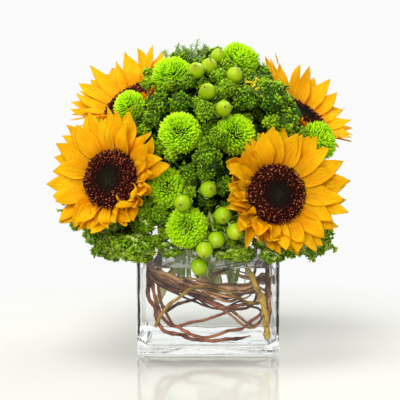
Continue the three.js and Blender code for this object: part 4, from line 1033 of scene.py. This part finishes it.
# A filler head is kept where it clears the blooms and the glass and no head is near; small heads stand
# where they are listed. Each head is its place, radius and spray, and the tip of that spray that it hangs
# on by a twig.
def fillerHeads():
    look = greensLook
    chosen, taken = [], tips.copy()
    for spots in [fillerSpots(share) for share in look["shells"]] + [rimSpots()]:
        wall = np.maximum(np.abs(spots[:, :2]).max(1) - look["glassHalf"], 0)
        glassRoom = np.hypot(wall, np.maximum(spots[:, 2] - look["glassTop"], 0))
        for spot, room in zip(spots, np.minimum(bloomRoom(spots), glassRoom)):
            gap = np.linalg.norm(taken - spot, axis=1).min()
            if room < look["leastRoom"] or gap < look["gap"] or gap > look["farthest"]:
                continue
            chosen.append((spot, min(look["fillerRadius"], room + look["overlap"])))
            taken = np.concatenate([taken, spot[None] + goldenCap(12, 1, -1) * look["headReach"]])
    chosen += [(spot, look["smallRadius"]) for spot in np.array(look["small"], float)]
    owners = nearestTips(np.array([spot for spot, _ in chosen]))
    return [(*head, tipSpray[tip], tips[tip]) for head, tip in zip(chosen, owners)]


# The front hem is drawn up. Before the glass, what hangs below a height loses a share of its drop, which is
# larger at the open middle.
def drawUp(points):
    look = greensLook["hem"]
    before = np.clip((look["from"] - points[:, 1]) / look["ease"], 0, 1)
    middle = np.exp(-((points[:, 0] - look["middle"]) / look["half"]) ** 4)
    share = look["sides"] + (look["open"] - look["sides"]) * middle
    points[:, 2] += before * share * np.maximum(0, look["below"] - points[:, 2])


def greensMaterial():
    material, tree = newMaterial("budGreen")
    along, tint, outer = attributes(tree, "along", "tint", "outer")
    patch = noise(tree, place(tree), 34.0, 3.0)
    # The leaflets' feet, inside their tufts, are painted near black: painted shade.
    base = ramp(tree, along, (0.0, 0.02, 0.06, 0.001), (0.4, 0.15, 0.32, 0.003), (0.75, 0.38, 0.62, 0.006),
                (1.0, 0.56, 0.8, 0.02))
    varied = blend(tree, spread(tree, tint, 0.0, 1.0, 0.0, 0.5), base, (0.1, 0.24, 0.002, 1))
    lit = blend(tree, spread(tree, patch, 0.48, 0.66, 0.0, 0.6), varied, (0.56, 0.78, 0.008, 1))
    lit = blend(tree, spread(tree, patch, 0.46, 0.32, 0.0, 0.6), lit, (0.1, 0.24, 0.006, 1))
    # Where outer is low the leaves are painted near black: painted shade between the tips and deep in the
    # dome.
    colour = blend(tree, spread(tree, outer, 0.0, 0.55, 0.88, 0.0), lit, (0.01, 0.035, 0.002, 1))
    normal = bump(tree, patch, 0.1, 0.0003)
    return finish(material, tree, colour, 0.42, normal, 0.3, (0.45, 0.75, 0.008, 1), 0.22)


budGreen = greensMaterial()
twigGreen = stemMaterial("twigGreen", (0.3, 0.46, 0.05), (0.6, 0.74, 0.18))
# Spray stems high in the dome take this near-black green: painted shade.
shadedStemGreen = stemMaterial("shadedStemGreen", (0.01, 0.034, 0.003), (0.04, 0.1, 0.008), 1.0)
fillers = fillerHeads()
print("filler heads:", len(fillers))


# The places of tufts painted near black, as shade deep in the dome.
def shadeTuftPlaces():  # every second place on deeper shells that is over or outside the glass and clear of blooms
    look = greensLook
    spots = np.concatenate([fillerSpots(share)[::2] for share in look["dark"]])
    spots = spots[(spots[:, 2] > look["shadeTuftFrom"]) | (np.abs(spots[:, :2]).max(1) > look["shadeTuftOut"])]
    return spots[bloomRoom(spots) > look["shadeTuftRoom"]]


shadeTuftSpots = shadeTuftPlaces()
shadeTuftOwner = tipSpray[nearestTips(shadeTuftSpots)]


# A spray: its solid's stems, grown a little, under tufts on its budded heads. Tips in a bloom's room shrink
# back. It gives the skin and each face's material: stem, stem in the dome in painted shade, or leaf.
def spraySkin(k, points, faces, rng):
    look = greensLook
    stem = grownSkin(f"greens_{k}", grow=0.1)
    spot, heading, share = tuftsOnHeads(points, faces, rng)
    clear = bloomRoom(spot + heading) > 0
    spot, heading, share = spot[clear], heading[clear], share[clear]
    hiding = budTips(points, faces) & (bloomRoom(points) < 0)
    stem["points"][hiding] += (look["centre"] - stem["points"][hiding]) * look["shrink"]
    parts = [stem]
    if len(spot):
        lift = rng.uniform(*look["lift"], len(spot))
        # The shade of a tuft, painted dark on its leaves, falls away from the tips and where it sits lower.
        parts.append(tuftSkin(spot + heading * lift[:, None], heading, rng, 0.2 + 0.6 * share + 0.1 * lift))
    whole = together(parts)
    drawUp(whole["points"])
    isLeaf = np.arange(len(whole["faces"])) >= len(stem["faces"])
    isShadedStem = whole["points"][whole["faces"]].mean(1)[:, 2] > look["shadedStemFrom"]
    return whole, np.where(isLeaf, 2, isShadedStem.astype(int))


# One filler head: tufts on a golden-angle ball cap that faces away from the dome's middle, at mixed depths,
# with painted shade that darkens them towards the core.
def headSkin(at, radius, rng):
    look = greensLook
    away = unit(at - np.array(look["centre"]))
    n = int(look["tuftsAtSix"] * (radius / 6) ** 2)  # as many for its surface as a head of radius six has
    d = goldenCap(n, 1, look["headBack"], rng.uniform(0, 6)) + rng.normal(0, 0.12, (n, 3))
    side = unit(np.cross(away, [0.3, 0.2, 0.9]))
    d = unit(turned(d, side, np.cross(away, side), away))
    depth = rng.uniform(0.55, 1, n)
    foot = at + d * (radius * look["headShare"] * depth - look["headSink"])[:, None]
    return tuftSkin(foot, d, rng, 0.1 + 0.8 * depth * rng.uniform(0.7, 1, n))


# A spray's filler heads with their twigs, painted dark as shade, and large tufts painted near black as shade
# deeper in the dome. A spray may have none.
def fillerSkin(k, rng):
    look = greensLook
    parts, twigs = [], []
    for at, radius, owner, root in fillers:
        if owner == k:
            parts.append(headSkin(at, radius, rng))
            middle = (root + at) / 2 + rng.normal(0, 1, 3)
            twigs.append(smoothLine([root, middle, at], look["twigStations"]))
    own = shadeTuftSpots[shadeTuftOwner == k]
    if len(own):
        away = unit(own - np.array(look["centre"]))
        parts.append(tuftSkin(own - away * look["shadeTuftIn"], away, rng, 0.0, look["shadeTuftSize"]))
    if twigs:
        parts.append(rods(np.array(twigs), look["twigRadius"], look["twigSides"], outer=0.0))
    if not parts:
        return None
    whole = together(parts)
    drawUp(whole["points"])
    return whole


for k, (points, faces) in greensShapes.items():
    rng = np.random.default_rng(700 + k)
    spray, faceMaterials = spraySkin(k, points, faces, rng)
    makePiece(f"greens{k}", spray, [twigGreen, shadedStemGreen, budGreen], [f"greens_{k}"], faceMaterials)
    filler = fillerSkin(k, rng)
    if filler:
        makePiece(f"greens{k}Filler", filler, [budGreen], [f"greens_{k}"])
    print("greens", k, "done")


# Loose sprigs that stand out of the dome. Thin stems run from a foot to a tip, each bent a little at its
# middle, and short leaves leave them by the golden angle, slanting forward.
def looseSkin(look):
    rng = np.random.default_rng(look["seed"])
    n, stations = look["leaves"], 16
    known, t = np.arange(stations), np.array([0, 0.35, 0.75, 1.0])[None, :, None]
    parts = []
    for foot, tip in look["runs"]:
        for _ in range(look["stems"]):
            top = np.array(tip) + rng.normal(0, look["scatter"], 3)
            start = np.array(foot) + rng.normal(0, look["scatter"] * 0.5, 3)
            line = smoothLine([start, (start + top) / 2 + rng.normal(0, 1.2, 3), top], stations)
            # With budGreen, outer sets painted shade: about half of it on these stems, none on the leaves.
            parts.append(rods(line[None], look["stem"], sides=5, outer=0.2))
            at = pointsAt(np.linspace(0.3, 1, n) * known[-1], known, line)
            along = unit(top - start)
            side = unit(np.cross(along, [0.3, 0.9, 0.2]))
            out = around(np.arange(n) * 2.4 + rng.uniform(0, 6), side, np.cross(along, side))
            heading = unit(out + along * 0.8 + rng.normal(0, 0.15, (n, 3)))
            mid = at[:, None] + heading[:, None] * look["leaf"] * rng.uniform(0.6, 1.2, n)[:, None, None] * t
            width = look["leafWidth"] * np.array([[0.1, 1.0, 0.8, 0.1]])
            tint = rng.uniform(0, 1, n)
            across = np.cross(along, out)
            parts.append(skins(mid, across, width, 0.25, width * 0.3, sides=5, tint=tint, outer=0.9))
    return together(parts)


wispLook = {
    "seed": 61, "stems": 3, "scatter": 2.4, "stem": 0.32, "leaves": 24, "leaf": 3.6, "leafWidth": 0.62,
    "runs": [((-32, -12, 252), (-38, -12, 267)), ((-24, -12, 254), (-24, -12, 274)),
             ((-14, -10, 256), (-13, -10, 276)), ((-6, -8, 258), (-2, -8, 277)),
             ((-18, -10, 256), (-20, -12, 271))],
}
edgeLook = {
    "seed": 62, "stems": 2, "scatter": 3.0, "stem": 0.4, "leaves": 26, "leaf": 2.8, "leafWidth": 1.25,
    "runs": [((-110, -38, 134), (-130, -42, 131)), ((-106, -42, 122), (-122, -46, 117)),
             ((-100, -46, 112), (-112, -50, 107)), ((-92, -50, 104), (-98, -54, 96)),
             ((100, -38, 108), (110, -42, 102)), ((84, -50, 104), (88, -56, 97))],
}
floretLook = {
    "seed": 63, "stems": 6, "scatter": 3.4, "stem": 0.35, "leaves": 24, "leaf": 1.9, "leafWidth": 1.0,
    "runs": [((36, -40, 232), (38, -46, 241)), ((44, -38, 232), (46, -44, 240)),
             ((41, -42, 226), (43, -50, 234))],
}
wispGreen = stemMaterial("wispGreen", (0.12, 0.22, 0.04), (0.42, 0.56, 0.2), 0.7)
floretYellow = stemMaterial("floretYellow", (0.6, 0.5, 0.01), (1.0, 0.82, 0.03), 0.6)
for name, look, material in (("wispSprays", wispLook, wispGreen), ("edgeSprays", edgeLook, budGreen),
                             ("yellowFlorets", floretLook, floretYellow)):
    makePiece(name, looseSkin(look), [material], ["greens_11"])
print("loose sprigs done")


# Floor, light and camera: lamps are given by place, the point they look at, width, power and colour
stageLook = {
    "floorSize": 12.0, "floorDrop": 0.0003, "sky": (0.98, 0.99, 0.98, 1), "backdrop": 0.975, "surround": 0.7,
    "fadeAbout": (0, -0.12, 0), "fadeFrom": 0.22, "fadeTo": 0.42, "bounces": 24,
    "key": ((-0.55, -1.75, 1.15), (0, 0, 0.16), 1.1, 37.0, (1, 0.985, 0.96)),
    "top": ((-0.3, -0.1, 1.5), (0, 0, 0.2), 0.8, 14.0, (1, 1, 0.98)),
    "back": ((0.9, 1.1, 1.3), (0, 0, 0.15), 1.2, 12.0, (1, 1, 1)),
}
cameraLook = {"at": (-0.0072, -0.99255, 0.25507), "pitch": 7.0, "lens": 96.84}


# The floor fades into the backdrop with its distance from the vase.
def stageMaterial():
    material, tree = newMaterial("paleFloor")
    where = place(tree)
    grain = noise(tree, where, 3.0, 2.0)
    colour = ramp(tree, grain, (0.3, 0.55, 0.54, 0.49), (0.7, 0.6, 0.59, 0.54))
    surface = addNode(tree, "BsdfPrincipled", Base_Color=colour, Roughness=0.1)
    surface.inputs["Specular IOR Level"].default_value = 0.8
    away = addNode(tree, "VectorMath", {"operation": "DISTANCE"}, Vector=where).outputs["Value"]
    away.node.inputs[1].default_value = stageLook["fadeAbout"]
    faded = spread(tree, away, stageLook["fadeFrom"], stageLook["fadeTo"])
    clear = addNode(tree, "BsdfTransparent").outputs[0]
    addNode(tree, "OutputMaterial", Surface=blendShaders(tree, faded, surface.outputs[0], clear))
    return material


half, below = stageLook["floorSize"] / 2, -stageLook["floorDrop"]
floorMesh = bpy.data.meshes.new("floor")
corners = [(x, y, below) for x, y in ((-half, -half), (half, -half), (half, half), (-half, half))]
floorMesh.from_pydata(corners, [], [(0, 1, 2, 3)])
floorMesh.materials.append(stageMaterial())
floor = bpy.data.objects.new("floor", floorMesh)
bpy.context.scene.collection.objects.link(floor)

# The backdrop, also where the glass shows it, is paler than the light that it throws on the piece.
world = bpy.data.worlds.new("studio")
world.use_nodes = True
backdrop = world.node_tree.nodes["Background"]
backdrop.inputs["Color"].default_value = stageLook["sky"]
thrown = addNode(world.node_tree, "LightPath").outputs["Is Diffuse Ray"]
strength = spread(world.node_tree, thrown, 0, 1, stageLook["backdrop"], stageLook["surround"])
world.node_tree.links.new(strength, backdrop.inputs["Strength"])
bpy.context.scene.world = world


def addLamp(name, at, target, size, power, colour):
    lamp = bpy.data.lights.new(name, "AREA")
    lamp.shape = "DISK"
    lamp.size, lamp.energy, lamp.color = size, power, colour
    holder = bpy.data.objects.new(name, lamp)
    holder.location = at
    x, y, z = np.array(target) - np.array(at)
    holder.rotation_euler = (math.atan2(math.hypot(x, y), -z), 0, math.atan2(x, -y) + math.pi)
    bpy.context.scene.collection.objects.link(holder)
    return holder


keyLight = addLamp("keyLight", *stageLook["key"])
keyLight.visible_transmission = False  # the glass shows no image of the lamp
addLamp("topLight", *stageLook["top"])
addLamp("backLight", *stageLook["back"])

cameraData = bpy.data.cameras.new("photoView")
cameraData.lens, cameraData.sensor_width = cameraLook["lens"], 36
camera = bpy.data.objects.new("photoView", cameraData)
camera.location = cameraLook["at"]
camera.rotation_euler = (math.radians(90 - cameraLook["pitch"]), 0, 0)
scene = bpy.context.scene
scene.collection.objects.link(camera)
scene.camera = camera
scene.view_settings.view_transform = "Standard"
scene.cycles.max_bounces = stageLook["bounces"]
scene.cycles.transmission_bounces = stageLook["bounces"]
scene.cycles.transparent_max_bounces = stageLook["bounces"]
print("stage done")
